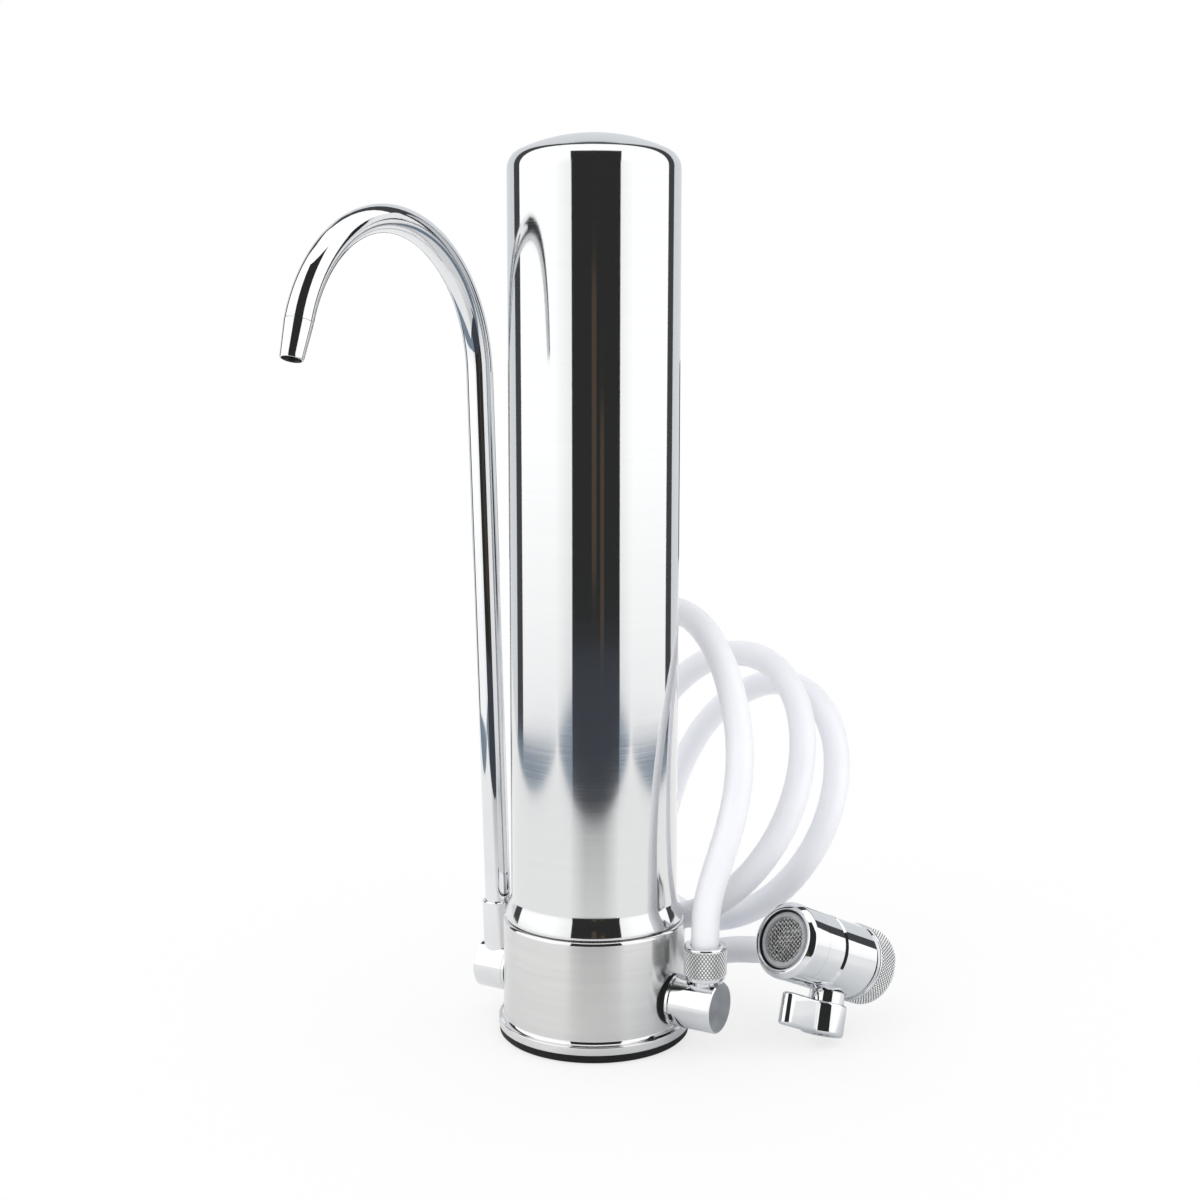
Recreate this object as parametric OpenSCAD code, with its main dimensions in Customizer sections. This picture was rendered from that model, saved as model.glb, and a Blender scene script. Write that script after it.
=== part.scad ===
// Countertop water filter: canister on a base, swivel spout, coiled hose and tap diverter.
// Millimetres, +Z up. The origin is on the counter, on the axis of the canister.
// The inlet is on +X, the outlet and its spout are on -X, and the spout points to -Y.

/* [Canister] */
// Outer diameter of the canister tube
can_d = 64; // [60:1:72]
// Height of the canister from its lip to the top of the crown
can_h = 295; // [290:1:330]
// Thickness of the canister wall
can_wall = 0.8; // [0.6:0.1:1.2]
// Radius of the spherical crown
crown_r = 66; // [55:1:90]
// Radius of the shoulder between tube and crown
shoulder_r = 8; // [5:0.5:10]
// How far the lip of the canister flares out
flare_out = 2.4; // [1.8:0.1:3]
// Height of the flare
flare_h = 6.2; // [5:0.2:9]
// Height of the plain lip under the flare
lip_h = 1.2; // [0.8:0.2:3]

/* [Base] */
// Height of the top of the base above the counter
base_h = 46.2; // [44:0.2:60]
// Thickness of the base shell
base_wall = 1.2; // [0.8:0.1:1.6]
// How far the base stands out past the lip of the canister
base_step = 0.8; // [0.4:0.1:2]
// How far the skirt at the foot stands out past the base
skirt_out = 2; // [1:0.1:3]
// Height of the plain skirt
skirt_h = 3.3; // [2:0.1:5]
// Height of the hollow curve above the skirt
skirt_curve_h = 1.6; // [1:0.1:3]
// Radius of the rolled top edge of the base
roll_r = 1.4; // [0.8:0.1:2]
// Height of the rubber foot pad that shows under the skirt
foot_h = 3.2; // [2:0.1:5]
// Width of the thick rim of the rubber foot pad
foot_w = 8; // [5:0.5:12]
// Thickness of the bottom cover
cover_t = 2; // [1.5:0.1:3]

/* [Manifold] */
// Diameter of the water ways
way_d = 7; // [5:0.5:8]
// Section diameter of the O-ring under the canister
seal_d = 2.4; // [1.8:0.1:3]
// Diameter of the filter's threaded stud
stud_d = 15; // [12:0.5:18]
// Length of the filter's threaded stud
stud_l = 16; // [10:1:18]

/* [Filter element] */
// Outer diameter of the ceramic candle
candle_d = 50; // [44:1:54]
// Height of the ceramic candle
candle_h = 240; // [200:1:245]
// Wall of the ceramic candle
candle_wall = 6; // [4:0.5:8]
// Thickness of the washer under the filter
washer_h = 2.5; // [1.5:0.5:4]
// Height of the plastic mount of the filter
mount_h = 12; // [8:1:14]
// Depth of the candle in its mount
mount_cup = 6; // [3:0.5:6]

/* [Elbows] */
// Diameter of the horizontal barrel of each elbow
barrel_d = 19.4; // [16:0.2:22]
// Diameter of the threaded shank of each elbow
shank_d = 12; // [10.5:0.5:14]
// Length of the shank inside the manifold
shank_l = 10; // [8:0.5:12]
// Diameter of the wall washers
wall_washer_d = 19.8; // [17:0.2:23]
// Thickness of the wall washers
wall_washer_t = 1; // [0.8:0.1:2]
// Thickness of the rubber gaskets at their thinnest
gasket_t = 0.8; // [0.6:0.1:2]
// Length of the inlet barrel past the axis of its neck
inlet_over = 6.3; // [5:0.1:10]
// Length of the outlet barrel past the axis of its neck
outlet_over = 7; // [6.5:0.1:10]
// Gap along the barrel between the wall washer and the hose nut
nut_gap = 3.1; // [1:0.1:6]
// Gap along the barrel between the wall washer and the spout socket
socket_gap = 0.2; // [0.2:0.1:3]
// Height of the spout socket above the axis of the barrel
socket_h = 27; // [24:0.5:36]
// Wall of the spout socket
socket_wall = 1.1; // [0.8:0.05:2]

/* [Spout] */
// Diameter of the spout tube
spout_d = 10.2; // [8:0.2:12]
// Wall of the spout tube
spout_wall = 1; // [0.6:0.1:1.4]
// Height of the straight part of the spout above its socket
stem_h = 209; // [180:1:250]
// Bend radius of the gooseneck
goose_r = 56; // [44:0.5:60]
// Angle of the gooseneck bend
goose_sweep = 159; // [130:1:180]
// Lean of the spout away from the canister
spout_lean = 1.8; // [0:0.1:3]
// Length of the tapered tip
tip_l = 13.5; // [10:0.5:24]
// Outer diameter of the mouth of the tip
tip_d = 8; // [6:0.1:9]

/* [Hose] */
// Outer diameter of the hose
hose_d = 10.6; // [9:0.2:11.4]
// Outer diameter of the knurled hose nuts
nut_d = 16.4; // [15.5:0.1:20]
// Height of the knurled hose nuts
nut_h = 13; // [11:0.5:16]
// Thickness of the flange that holds the hose in its nut
nut_flange = 1.8; // [1.2:0.1:2.5]
// Gap between a hose nut and the fitting behind it
nut_lift = 1.2; // [0.8:0.1:3]
// Height of the sleeve that grips the hose in its nut
sleeve_h = 2.6; // [1.5:0.1:4]

/* [Diverter] */
// Diameter of the valve body
valve_d = 29.2; // [27:0.2:32]
// Length of the front barrel of the valve body
valve_front = 10.5; // [8:0.5:16]
// Length of the rear barrel of the valve body
valve_rear = 20.5; // [19:0.5:26]
// Distance of the lever's axis from the groove between the barrels
lever_back = 10.5; // [9.5:0.5:12]
// Depth of the groove between the barrels
groove_depth = 1; // [0.6:0.1:2]
// Length of the aerator housing
aerator_l = 10.5; // [9:0.5:16]
// Diameter of the wire screen
screen_d = 17.6; // [15:0.2:18]
// Outer diameter of the swivel nut
swivel_d = 30.6; // [28:0.2:34]
// Length of the swivel nut
swivel_l = 10.5; // [10.5:0.5:16]
// Diameter of the thread that takes the tap
tap_thread_d = 22; // [21:0.5:24]
// Depth of the thread that takes the tap
tap_thread_l = 5.5; // [4:0.5:5.5]
// Diameter of the turning spool
spool_d = 9.2; // [8.4:0.2:10]
// Height of the lever's collar
lever_collar_h = 3.6; // [2:0.2:5]
// Height of the lever's grip
lever_h = 12.2; // [8:0.2:14]
// Diameter of the lever's round end, about its axis
lever_w = 16.4; // [14:0.2:18]
// Width of the lever's bar
lever_bar_w = 6; // [5:0.2:8]
// Reach of the lever from its axis to its far end
lever_reach = 25.1; // [20:0.1:34]

/* [Hidden] */
$fn = 64;

// Colours of the finishes
STEEL = [0.78, 0.78, 0.79];
SATIN = [0.72, 0.72, 0.70];
CHROME = [0.86, 0.87, 0.88];
BRASS = [0.78, 0.64, 0.35];
RUBBER = [0.06, 0.06, 0.06];
WHITE = [0.93, 0.93, 0.95];
GREY = [0.55, 0.56, 0.57];
CARBON = [0.12, 0.12, 0.12];

// Clearances: a running fit, a loose fit, and a small overlap that joins solids of one piece
run_fit = 0.06;
loose_fit = 0.2;
bond = 0.5;
edge_r = 0.6;

// Levels of the base and of the canister above it
can_r = can_d / 2;
lip_r = can_r + flare_out;
base_r = lip_r + base_step;
skirt_r = base_r + skirt_out;
skirt_top = foot_h + skirt_h;
wall_foot = skirt_top + skirt_curve_h;
port_z = wall_foot + wall_washer_d / 2 + loose_fit;
seat_gap = 0.5;
lip_z = base_h + seat_gap;
neck_r = can_r - can_wall - 2 * run_fit;
neck_top = lip_z + lip_h + flare_h + seal_d + 4;
shell_in = base_r - base_wall;
manifold_r = shell_in - loose_fit;
manifold_floor = foot_h + cover_t + 2;
web_t = 1.2;

// Places along the elbows, from the axis of the canister
barrel_x = base_r + gasket_t + wall_washer_t;
nut_r = nut_d / 2;
spout_r = spout_d / 2;
socket_r = spout_r + run_fit + socket_wall;
inlet_x = barrel_x + nut_gap + nut_r;
outlet_x = barrel_x + socket_gap + socket_r;
shank_x = manifold_r - shank_l;
riser_x = shank_x - way_d / 2 + 1;

// A list of points on an arc about c, from angle a to angle b
function arc(c, r, a, b, steps = 8) =
    [for (i = [0:steps]) c + r * [cos(a + (b - a) * i / steps), sin(a + (b - a) * i / steps)]];

// A hollow curve that leaves the vertical at the top and spreads out by w at the bottom
function hollow(r, z, w, h, steps = 6) =
    [for (i = [0:steps]) [r + w * (1 - sin(90 * i / steps)), z + h * (1 - cos(90 * i / steps))]];

// A ring about Z, from radius a to radius b, between heights z0 and z1
module ring(a, b, z0, z1) {
    translate([0, 0, z0]) difference() {
        cylinder(r = b, h = z1 - z0);
        translate([0, 0, -1]) cylinder(r = a, h = z1 - z0 + 2);
    }
}

// A round bar about Z with bevelled ends
module bevelled(r, z0, z1, bevel) {
    rotate_extrude() polygon([
        [0, z0], [r - bevel, z0], [r, z0 + bevel], [r, z1 - bevel], [r - bevel, z1], [0, z1]
    ]);
}

// An O-ring about Z
module o_ring(mid_r, section_d, z) {
    translate([0, 0, z]) rotate_extrude() translate([mid_r, 0]) circle(d = section_d, $fn = 24);
}

// Frame of the inlet elbow, whose Z runs outwards along the barrel
module inlet_frame() {
    translate([0, 0, port_z]) rotate([0, 90, 0]) children();
}

// Frame of the outlet elbow
module outlet_frame() {
    rotate([0, 0, 180]) inlet_frame() children();
}

// Upright frame on the neck of the inlet, from the axis of the barrel
module neck_frame() {
    translate([inlet_x, 0, port_z]) children();
}

// Leaning frame of the spout, from the axis of the outlet barrel
module spout_frame() {
    translate([-outlet_x, 0, port_z]) rotate([0, -spout_lean, 0]) children();
}

module foot_pad() {
    rim = 3;
    seat_r = skirt_r - base_wall - loose_fit;
    color(RUBBER) rotate_extrude() polygon([
        [0, 0], [skirt_r - 1.2, 0], [skirt_r - 0.4, 0.8], [skirt_r - 0.4, foot_h],
        [seat_r, foot_h], [seat_r, foot_h + rim], [skirt_r - foot_w, foot_h + rim],
        [skirt_r - foot_w, web_t], [0, web_t]
    ]);
}

module base_cover() {
    rim_r = skirt_r - foot_w - loose_fit;
    color(RUBBER) union() {
        translate([0, 0, foot_h]) cylinder(r = rim_r, h = cover_t);
        ring(rim_r - 2, rim_r, web_t + run_fit, foot_h + bond);
        ring(9, 11, web_t + run_fit, foot_h + bond);
        ring(11, manifold_r - 8, foot_h + cover_t - bond, manifold_floor);
    }
}

module base_shell() {
    top_in = neck_r + loose_fit;
    color(SATIN) difference() {
        rotate_extrude($fn = 96) polygon(concat(
            [[skirt_r, foot_h]],
            hollow(base_r, skirt_top, skirt_out, skirt_curve_h),
            arc([base_r - roll_r, base_h - roll_r], roll_r, 0, 90, 5),
            [[top_in, base_h], [top_in, base_h - base_wall], [shell_in, base_h - base_wall]],
            [[shell_in, wall_foot], [skirt_r - base_wall, skirt_top], [skirt_r - base_wall, foot_h]]
        ));
        for (side = [0, 180]) rotate([0, 0, side]) translate([0, 0, port_z]) rotate([0, 90, 0])
            cylinder(d = shank_d + 2 * loose_fit, h = 2 * base_r);
    }
}

module manifold() {
    shoulder = base_h - base_wall;
    seal_z = neck_top - seal_d - 1;
    color(WHITE) difference() {
        union() {
            translate([0, 0, manifold_floor]) cylinder(r = manifold_r, h = shoulder - manifold_floor);
            translate([0, 0, shoulder - bond]) cylinder(r = neck_r, h = neck_top - shoulder + bond);
        }
        // Groove of the canister's O-ring
        ring(neck_r - seal_d, neck_r + 1, seal_z - seal_d / 2 - 0.2, seal_z + seal_d / 2 + 0.2);
        // Socket of the filter's stud, and the way down to the outlet
        translate([0, 0, neck_top - stud_l - 1]) cylinder(d = stud_d + 2 * run_fit, h = stud_l + 2);
        translate([0, 0, port_z]) cylinder(d = way_d, h = neck_top);
        translate([0, 0, port_z]) rotate([0, -90, 0]) cylinder(d = way_d, h = shank_x + 1);
        // The way from the inlet up to the space round the filter
        translate([riser_x, 0, port_z]) cylinder(d = way_d, h = neck_top);
        translate([riser_x, 0, port_z]) rotate([0, 90, 0]) cylinder(d = way_d, h = shank_x);
        // Threaded ports of the two elbows
        for (side = [0, 180]) rotate([0, 0, side]) translate([shank_x - seal_d, 0, port_z])
            rotate([0, 90, 0]) cylinder(d = shank_d + 2 * run_fit, h = base_r);
        // Hollow of the moulding between its ribs
        for (side = [60, 120, 240, 300]) rotate([0, 0, side]) translate([manifold_r - 12, 0, manifold_floor - 1])
            cylinder(r = 7, h = shoulder - manifold_floor - 6);
    }
}

module canister_seal() {
    color(RUBBER) o_ring(neck_r - seal_d / 2 + run_fit, seal_d, neck_top - seal_d - 1);
}

// Outline of the canister inside or outside its wall, from the lip to the crown
function can_outline(inset) = let(
    top = can_h,
    rise = sqrt(pow(crown_r - shoulder_r, 2) - pow(can_r - shoulder_r, 2)),
    shoulder = [can_r - shoulder_r, top - crown_r + rise],
    turn = atan2(rise, can_r - shoulder_r)
) concat(
    hollow(can_r - inset, lip_h, flare_out, flare_h),
    arc(shoulder, shoulder_r - inset, 0, turn, 6),
    arc([0, top - crown_r], crown_r - inset, turn, 90, 10)
);

function reversed(list) = [for (i = [len(list) - 1:-1:0]) list[i]];

module canister() {
    color(STEEL) translate([0, 0, lip_z]) rotate_extrude($fn = 96) polygon(concat(
        [[lip_r - can_wall, 0.3], [lip_r - can_wall + 0.2, 0], [lip_r - 0.3, 0], [lip_r, 0.3]],
        can_outline(0),
        reversed(can_outline(can_wall))
    ));
}

module canister_collar() {
    inner = neck_r + run_fit;
    pocket = [for (p = hollow(can_r - can_wall - run_fit, lip_h, flare_out, flare_h)) if (p[0] > inner + 0.6) p];
    color(STEEL) translate([0, 0, lip_z]) rotate_extrude() polygon(concat(
        [[inner, -seat_gap], [lip_r - can_wall - 1.2, -seat_gap], [lip_r - can_wall - run_fit, 0.3]],
        pocket,
        [[inner, pocket[len(pocket) - 1][1]]]
    ));
}

module candle_washer() {
    color(RUBBER) ring(stud_d / 2 + loose_fit, stud_d / 2 + 4, neck_top, neck_top + washer_h);
}

module candle_mount() {
    floor_z = neck_top + washer_h;
    cup_r = candle_d / 2 + loose_fit;
    color(WHITE) difference() {
        union() {
            translate([0, 0, floor_z]) bevelled(cup_r + 2, 0, mount_h, 1);
            translate([0, 0, neck_top - stud_l]) cylinder(d = stud_d, h = stud_l + washer_h + bond);
        }
        translate([0, 0, floor_z + mount_h - mount_cup]) cylinder(r = cup_r, h = mount_cup + 1);
        translate([0, 0, neck_top - stud_l - 1]) cylinder(d = way_d, h = 2 * stud_l + mount_h);
    }
}

module ceramic_candle() {
    r = candle_d / 2;
    low = neck_top + washer_h + mount_h - mount_cup;
    bore_r = r - candle_wall;
    color([0.94, 0.93, 0.90]) translate([0, 0, low]) rotate_extrude() polygon(concat(
        [[bore_r, 0], [r, 0]],
        arc([0, candle_h - r], r, 0, 90, 10),
        reversed(arc([0, candle_h - r], bore_r, 0, 90, 8))
    ));
}

module carbon_block() {
    low = neck_top + washer_h + mount_h - mount_cup;
    block_r = candle_d / 2 - candle_wall - loose_fit;
    color(CARBON) ring(way_d / 2, block_r, low, low + candle_h - candle_d / 2);
}

// Horizontal barrel and shank of an elbow, with Z outwards
module elbow_barrel(neck_x, over) {
    bevelled(barrel_d / 2, barrel_x, neck_x + over, 0.5);
    translate([0, 0, shank_x]) cylinder(d = shank_d, h = barrel_x - shank_x + bond);
}

// Neck and thread that carry a hose nut, with Z outwards from the fitting at height z
module hose_neck(root, z) {
    thread_r = nut_r - 1.2;
    translate([0, 0, root]) cylinder(r = thread_r - 2.2, h = z + nut_lift + bond - root);
    translate([0, 0, z + nut_lift + 0.3]) cylinder(r = thread_r, h = nut_h - nut_flange - sleeve_h - 0.3 - loose_fit);
}

// Height at which the hose starts in a nut that stands on a fitting at height z
function hose_start(z) = z + nut_lift + nut_h - nut_flange - sleeve_h - loose_fit;

module hose_nut(z) {
    bottom = z + nut_lift;
    color(CHROME) difference() {
        bevelled(nut_r, bottom, bottom + nut_h, edge_r);
        translate([0, 0, bottom - 1]) cylinder(r = nut_r - 1.2 + run_fit, h = nut_h - nut_flange + 1);
        translate([0, 0, bottom]) cylinder(d = hose_d + 2 * loose_fit, h = nut_h + 1);
    }
}

module hose_sleeve(z) {
    color(BRASS) ring(hose_d / 2 + run_fit, nut_r - 1.2 - loose_fit, hose_start(z), hose_start(z) + sleeve_h);
}

module inlet_elbow() {
    color(CHROME) difference() {
        union() {
            inlet_frame() elbow_barrel(inlet_x, inlet_over);
            neck_frame() hose_neck(0, barrel_d / 2);
        }
        inlet_frame() translate([0, 0, shank_x - 1]) cylinder(d = way_d, h = inlet_x - shank_x + 1);
        neck_frame() cylinder(d = way_d, h = nut_h + barrel_d);
    }
}

module wall_washer() {
    color(CHROME) ring(shank_d / 2 + loose_fit, wall_washer_d / 2, base_r + gasket_t, barrel_x);
}

// Rubber saddle between the round base and the flat washer, with Z outwards
module wall_gasket() {
    color(RUBBER) difference() {
        ring(shank_d / 2 + loose_fit, wall_washer_d / 2 - 0.3, base_r - 5, base_r + gasket_t);
        rotate([90, 0, 0]) rotate([0, 90, 0]) translate([0, 0, -base_r]) cylinder(r = base_r, h = 2 * base_r, $fn = 96);
    }
}

module port_seal() {
    color(RUBBER) o_ring((shank_d - seal_d) / 2, seal_d, shank_x - seal_d / 2);
}

module inlet_washer() {
    inlet_frame() wall_washer();
}

module inlet_gasket() {
    inlet_frame() wall_gasket();
}

module inlet_port_seal() {
    inlet_frame() port_seal();
}

module outlet_elbow() {
    color(CHROME) difference() {
        union() {
            outlet_frame() elbow_barrel(outlet_x, outlet_over);
            spout_frame() bevelled(socket_r, 0, socket_h, 0.4);
        }
        outlet_frame() translate([0, 0, shank_x - 1]) cylinder(d = way_d, h = outlet_x - shank_x + 1);
        spout_frame() translate([0, 0, 1]) cylinder(r = spout_r + run_fit, h = socket_h);
    }
}

module outlet_washer() {
    outlet_frame() wall_washer();
}

module outlet_gasket() {
    outlet_frame() wall_gasket();
}

module outlet_port_seal() {
    outlet_frame() port_seal();
}

// Places along the spout, above the axis of the outlet barrel
plug_z = 4;
plug_top = socket_h - 6;
bend_z = socket_h + stem_h;

// Frame at the end of the bend, whose Z runs on along the tube
module bend_end() {
    spout_frame() translate([0, -goose_r * (1 - cos(goose_sweep)), bend_z + goose_r * sin(goose_sweep)])
        rotate([goose_sweep, 0, 0]) children();
}

// Ring-shaped section of the spout tube
module spout_section() {
    difference() {
        circle(r = spout_r);
        circle(r = spout_r - spout_wall);
    }
}

module spout_tube() {
    color(CHROME) union() {
        spout_frame() translate([0, 0, plug_top]) linear_extrude(bend_z - plug_top) spout_section();
        spout_frame() translate([0, -goose_r, bend_z]) rotate([90, 0, 90])
            rotate_extrude(angle = goose_sweep) translate([goose_r, 0]) spout_section();
    }
}

module spout_tip() {
    bore_r = tip_d / 2 - 0.9;
    color(CHROME) bend_end() rotate_extrude() polygon([
        [spout_r - spout_wall, 0], [spout_r - 0.4, 0], [spout_r - 0.1, 0.4], [spout_r, 0.8],
        [tip_d / 2 + 0.2, tip_l - 0.4], [tip_d / 2, tip_l], [bore_r, tip_l], [bore_r, 2]
    ]);
}

// Heights of the two O-rings and the clip of the spout's foot
seal_steps = [plug_z + 3, plug_z + 8];
clip_z = plug_z + 13;
spout_seal_d = 1.6;

module spout_plug() {
    color(BRASS) spout_frame() difference() {
        bevelled(spout_r, plug_z, plug_top, 0.3);
        translate([0, 0, plug_z - 1]) cylinder(r = spout_r - 2.6, h = plug_top);
        for (z = seal_steps) ring(spout_r - spout_seal_d + run_fit, spout_r + 1, z - 1, z + 1);
        ring(spout_r - 1, spout_r + 1, clip_z - 0.6, clip_z + 0.6);
    }
}

module spout_seals() {
    color(RUBBER) spout_frame() for (z = seal_steps)
        o_ring(spout_r - spout_seal_d / 2 + run_fit / 2, spout_seal_d - run_fit, z);
}

module spout_clip() {
    color(STEEL) spout_frame() difference() {
        ring(spout_r - 1 + run_fit, spout_r, clip_z - 0.5, clip_z + 0.5);
        translate([0, -1, clip_z - 1]) cube([2 * spout_r, 2, 2]);
    }
}

module inlet_hose_nut() {
    neck_frame() hose_nut(barrel_d / 2);
}

module inlet_hose_sleeve() {
    neck_frame() hose_sleeve(barrel_d / 2);
}

// Pose of the diverter, which lies on the counter on its lever
diverter_turn = [-11, 24.6, 71.3];
lever_bottom = valve_d / 2 + lever_collar_h + lever_h;
lever_upright = cos(diverter_turn[0]) * cos(diverter_turn[1]);
lever_edge = (lever_w / 2 - 1) * sqrt(1 - lever_upright * lever_upright);
diverter_at = [82.2, 42.5, lever_bottom * lever_upright + lever_edge + 0.3];
valve_r = valve_d / 2;
groove_x = -lever_back;
front_x = groove_x - valve_front;
rear_x = groove_x + valve_rear;
port_root = valve_r - 2;

// Frame of the diverter: X towards the tap, Y towards the hose port, Z away from the lever
module diverter_frame() {
    translate(diverter_at) rotate(diverter_turn) children();
}

// Frame along the diverter, whose Z runs towards the tap
module valve_frame() {
    diverter_frame() rotate([0, 90, 0]) children();
}

// Frame of the hose port, whose Z runs outwards
module port_frame() {
    diverter_frame() rotate([-90, 0, 0]) children();
}

// Frame of the lever, whose Z runs out of the body
module lever_frame() {
    diverter_frame() rotate([180, 0, 0]) children();
}

swivel_x = rear_x + 0.6;
swivel_shoulder = 2;
flange_t = 1.6;
tap_neck_r = tap_thread_d / 2 - 2;
flange_r = tap_thread_d / 2 - 0.4;
tap_washer_t = 1.2;
lever_collar_r = lever_w / 2 - 1.3;
lever_tip_r = lever_bar_w / 2;
shoulder_l = 2.3;
aerator_in = screen_d / 2 + 2.6;
front_spigot = 6;
valve_way = spool_d - 3.2;

module diverter_body() {
    flange_x = swivel_x + swivel_shoulder + run_fit;
    color(CHROME) difference() {
        union() {
            valve_frame() rotate_extrude() polygon([
                [0, front_x - front_spigot], [aerator_in - 1.2, front_x - front_spigot], [aerator_in - 1.2, front_x],
                [valve_r, front_x], [valve_r, groove_x - groove_depth], [valve_r - groove_depth, groove_x],
                [valve_r, groove_x + groove_depth], [valve_r, rear_x - 1.2], [valve_r - 1.2, rear_x],
                [tap_neck_r, rear_x], [tap_neck_r, flange_x], [flange_r, flange_x],
                [flange_r, flange_x + flange_t], [0, flange_x + flange_t]
            ]);
            port_frame() hose_neck(0, valve_r);
        }
        // Ways from the tap, to the aerator and to the hose
        valve_frame() translate([0, 0, front_x]) cylinder(d = valve_way, h = 2 * (valve_front + valve_rear));
        valve_frame() translate([0, 0, front_x - front_spigot - 1]) cylinder(r = aerator_in - 3, h = front_spigot + 5);
        port_frame() cylinder(d = valve_way, h = valve_r + nut_h + nut_lift);
        // Seat of the spool
        lever_frame() translate([0, 0, -spool_d]) cylinder(d = spool_d + 2 * run_fit, h = valve_d);
        lever_frame() translate([0, 0, valve_r - 1]) cylinder(r = lever_collar_r + 0.5, h = valve_r);
    }
}

module aerator_housing() {
    outer = front_x - aerator_l;
    color(CHROME) valve_frame() difference() {
        rotate_extrude() polygon([
            [0, outer], [valve_r - shoulder_l, outer], [valve_r - 0.7 * shoulder_l, outer + 0.3],
            [valve_r, outer + shoulder_l], [valve_r, front_x - run_fit], [0, front_x - run_fit]
        ]);
        translate([0, 0, outer - 1]) cylinder(r = aerator_in, h = aerator_l - front_spigot + 1 + run_fit);
        translate([0, 0, outer]) cylinder(r = aerator_in - 1.2 + run_fit, h = aerator_l + 1);
    }
}

module aerator_seal() {
    outer = front_x - aerator_l;
    color(RUBBER) valve_frame() ring(aerator_in - 0.7, aerator_in - run_fit, outer + 1.4, front_x - front_spigot - run_fit);
}

module aerator_insert() {
    outer = front_x - aerator_l;
    rim = aerator_in - 0.7 - run_fit;
    color(GREY) valve_frame() difference() {
        rotate_extrude() polygon([
            [0, outer + 0.6], [rim - 0.6, outer + 0.6], [rim, outer + 1.2],
            [rim, front_x - front_spigot - run_fit], [0, front_x - front_spigot - run_fit]
        ]);
        translate([0, 0, outer]) cylinder(d = screen_d, h = 2.2);
        translate([0, 0, outer]) cylinder(d = screen_d - 2.4, h = aerator_l);
    }
}

module aerator_screen() {
    outer = front_x - aerator_l;
    color(STEEL) valve_frame() translate([0, 0, outer + 1.4]) difference() {
        cylinder(d = screen_d - 2 * run_fit, h = 0.8);
        intersection() {
            translate([0, 0, -1]) cylinder(d = screen_d - 3, h = 3);
            for (x = [-4:4], y = [-4:4]) translate([2 * x - 0.7, 2 * y - 0.7, -1]) cube([1.4, 1.4, 3]);
        }
    }
}

module diverter_spool() {
    stem_r = spool_d / 2 - 1.6;
    low = valve_r + lever_collar_h + lever_h - 3;
    color(BRASS) lever_frame() difference() {
        union() {
            translate([0, 0, -spool_d + 0.4]) cylinder(d = spool_d, h = spool_d + valve_r - 1.4);
            cylinder(r = stem_r, h = low);
        }
        rotate([0, 90, 0]) cylinder(d = valve_way - 0.4, h = 2 * spool_d, center = true);
        rotate([-90, 0, 0]) cylinder(d = valve_way - 0.8, h = spool_d);
        ring(spool_d / 2 - 1.2, spool_d, valve_r - 4.6, valve_r - 3);
    }
}

module spool_seal() {
    color(RUBBER) lever_frame() o_ring(spool_d / 2 - 0.6, 1.2, valve_r - 3.8);
}

module diverter_lever() {
    stem_r = spool_d / 2 - 1.6;
    low = valve_r - 1 + run_fit;
    grip_z = valve_r + lever_collar_h;
    pin_x = lever_w / 2 - 0.8;
    color(CHROME) lever_frame() difference() {
        union() {
            translate([0, 0, low]) cylinder(r = lever_collar_r, h = lever_collar_h + 1.5);
            translate([-pin_x, 0, valve_r + 0.5]) cylinder(r1 = 1.1, r2 = 1.7, h = lever_collar_h);
            translate([0, 0, grip_z]) bevelled(lever_w / 2, 0, lever_h, 1);
            hull() for (x = [-pin_x + lever_tip_r, lever_tip_r - lever_reach])
                translate([x, 0, grip_z + 0.2]) bevelled(lever_tip_r, 0, lever_h - 0.4, 0.8);
        }
        translate([0, 0, low - 1]) cylinder(r = stem_r + run_fit, h = grip_z + lever_h - 3 - low + 1);
        translate([0, 0, low]) cylinder(r = 1.7, h = grip_z + lever_h);
        translate([0, 0, grip_z + lever_h - 2]) cylinder(r = 3.2, h = 3);
    }
}

module lever_screw() {
    top = valve_r + lever_collar_h + lever_h;
    color(STEEL) lever_frame() difference() {
        translate([0, 0, top - 2]) cylinder(r = 3, h = 1.6);
        translate([-0.4, -4, top - 1]) cube([0.8, 8, 2]);
    }
}

module swivel_nut() {
    deep = swivel_l - tap_thread_l;
    color(CHROME) valve_frame() difference() {
        bevelled(swivel_d / 2, swivel_x, swivel_x + swivel_l, 1.2);
        translate([0, 0, swivel_x - 1]) cylinder(r = tap_neck_r + run_fit, h = swivel_l);
        translate([0, 0, swivel_x + swivel_shoulder]) cylinder(r = tap_thread_d / 2 + 0.5, h = deep - swivel_shoulder);
        translate([0, 0, swivel_x + deep - bond]) cylinder(d = tap_thread_d, h = swivel_l);
    }
}

module tap_washer() {
    seat = swivel_x + swivel_shoulder + run_fit + flange_t;
    color(RUBBER) valve_frame() ring(tap_thread_d / 2 - 5, flange_r, seat, seat + tap_washer_t);
}

// The hose, from the inlet nut to the diverter's port
hose_r = hose_d / 2;
hose_sides = 8;
hose_straight = 12;

function unit(v) = v / norm(v);

// Points of a smooth stretch from a to d, which leaves towards b and arrives from c
function bend(a, b, c, d, steps) =
    [for (i = [1:steps]) let(t = i / steps, s = 1 - t)
        s * s * s * a + 3 * s * s * t * b + 3 * s * t * t * c + t * t * t * d];

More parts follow.
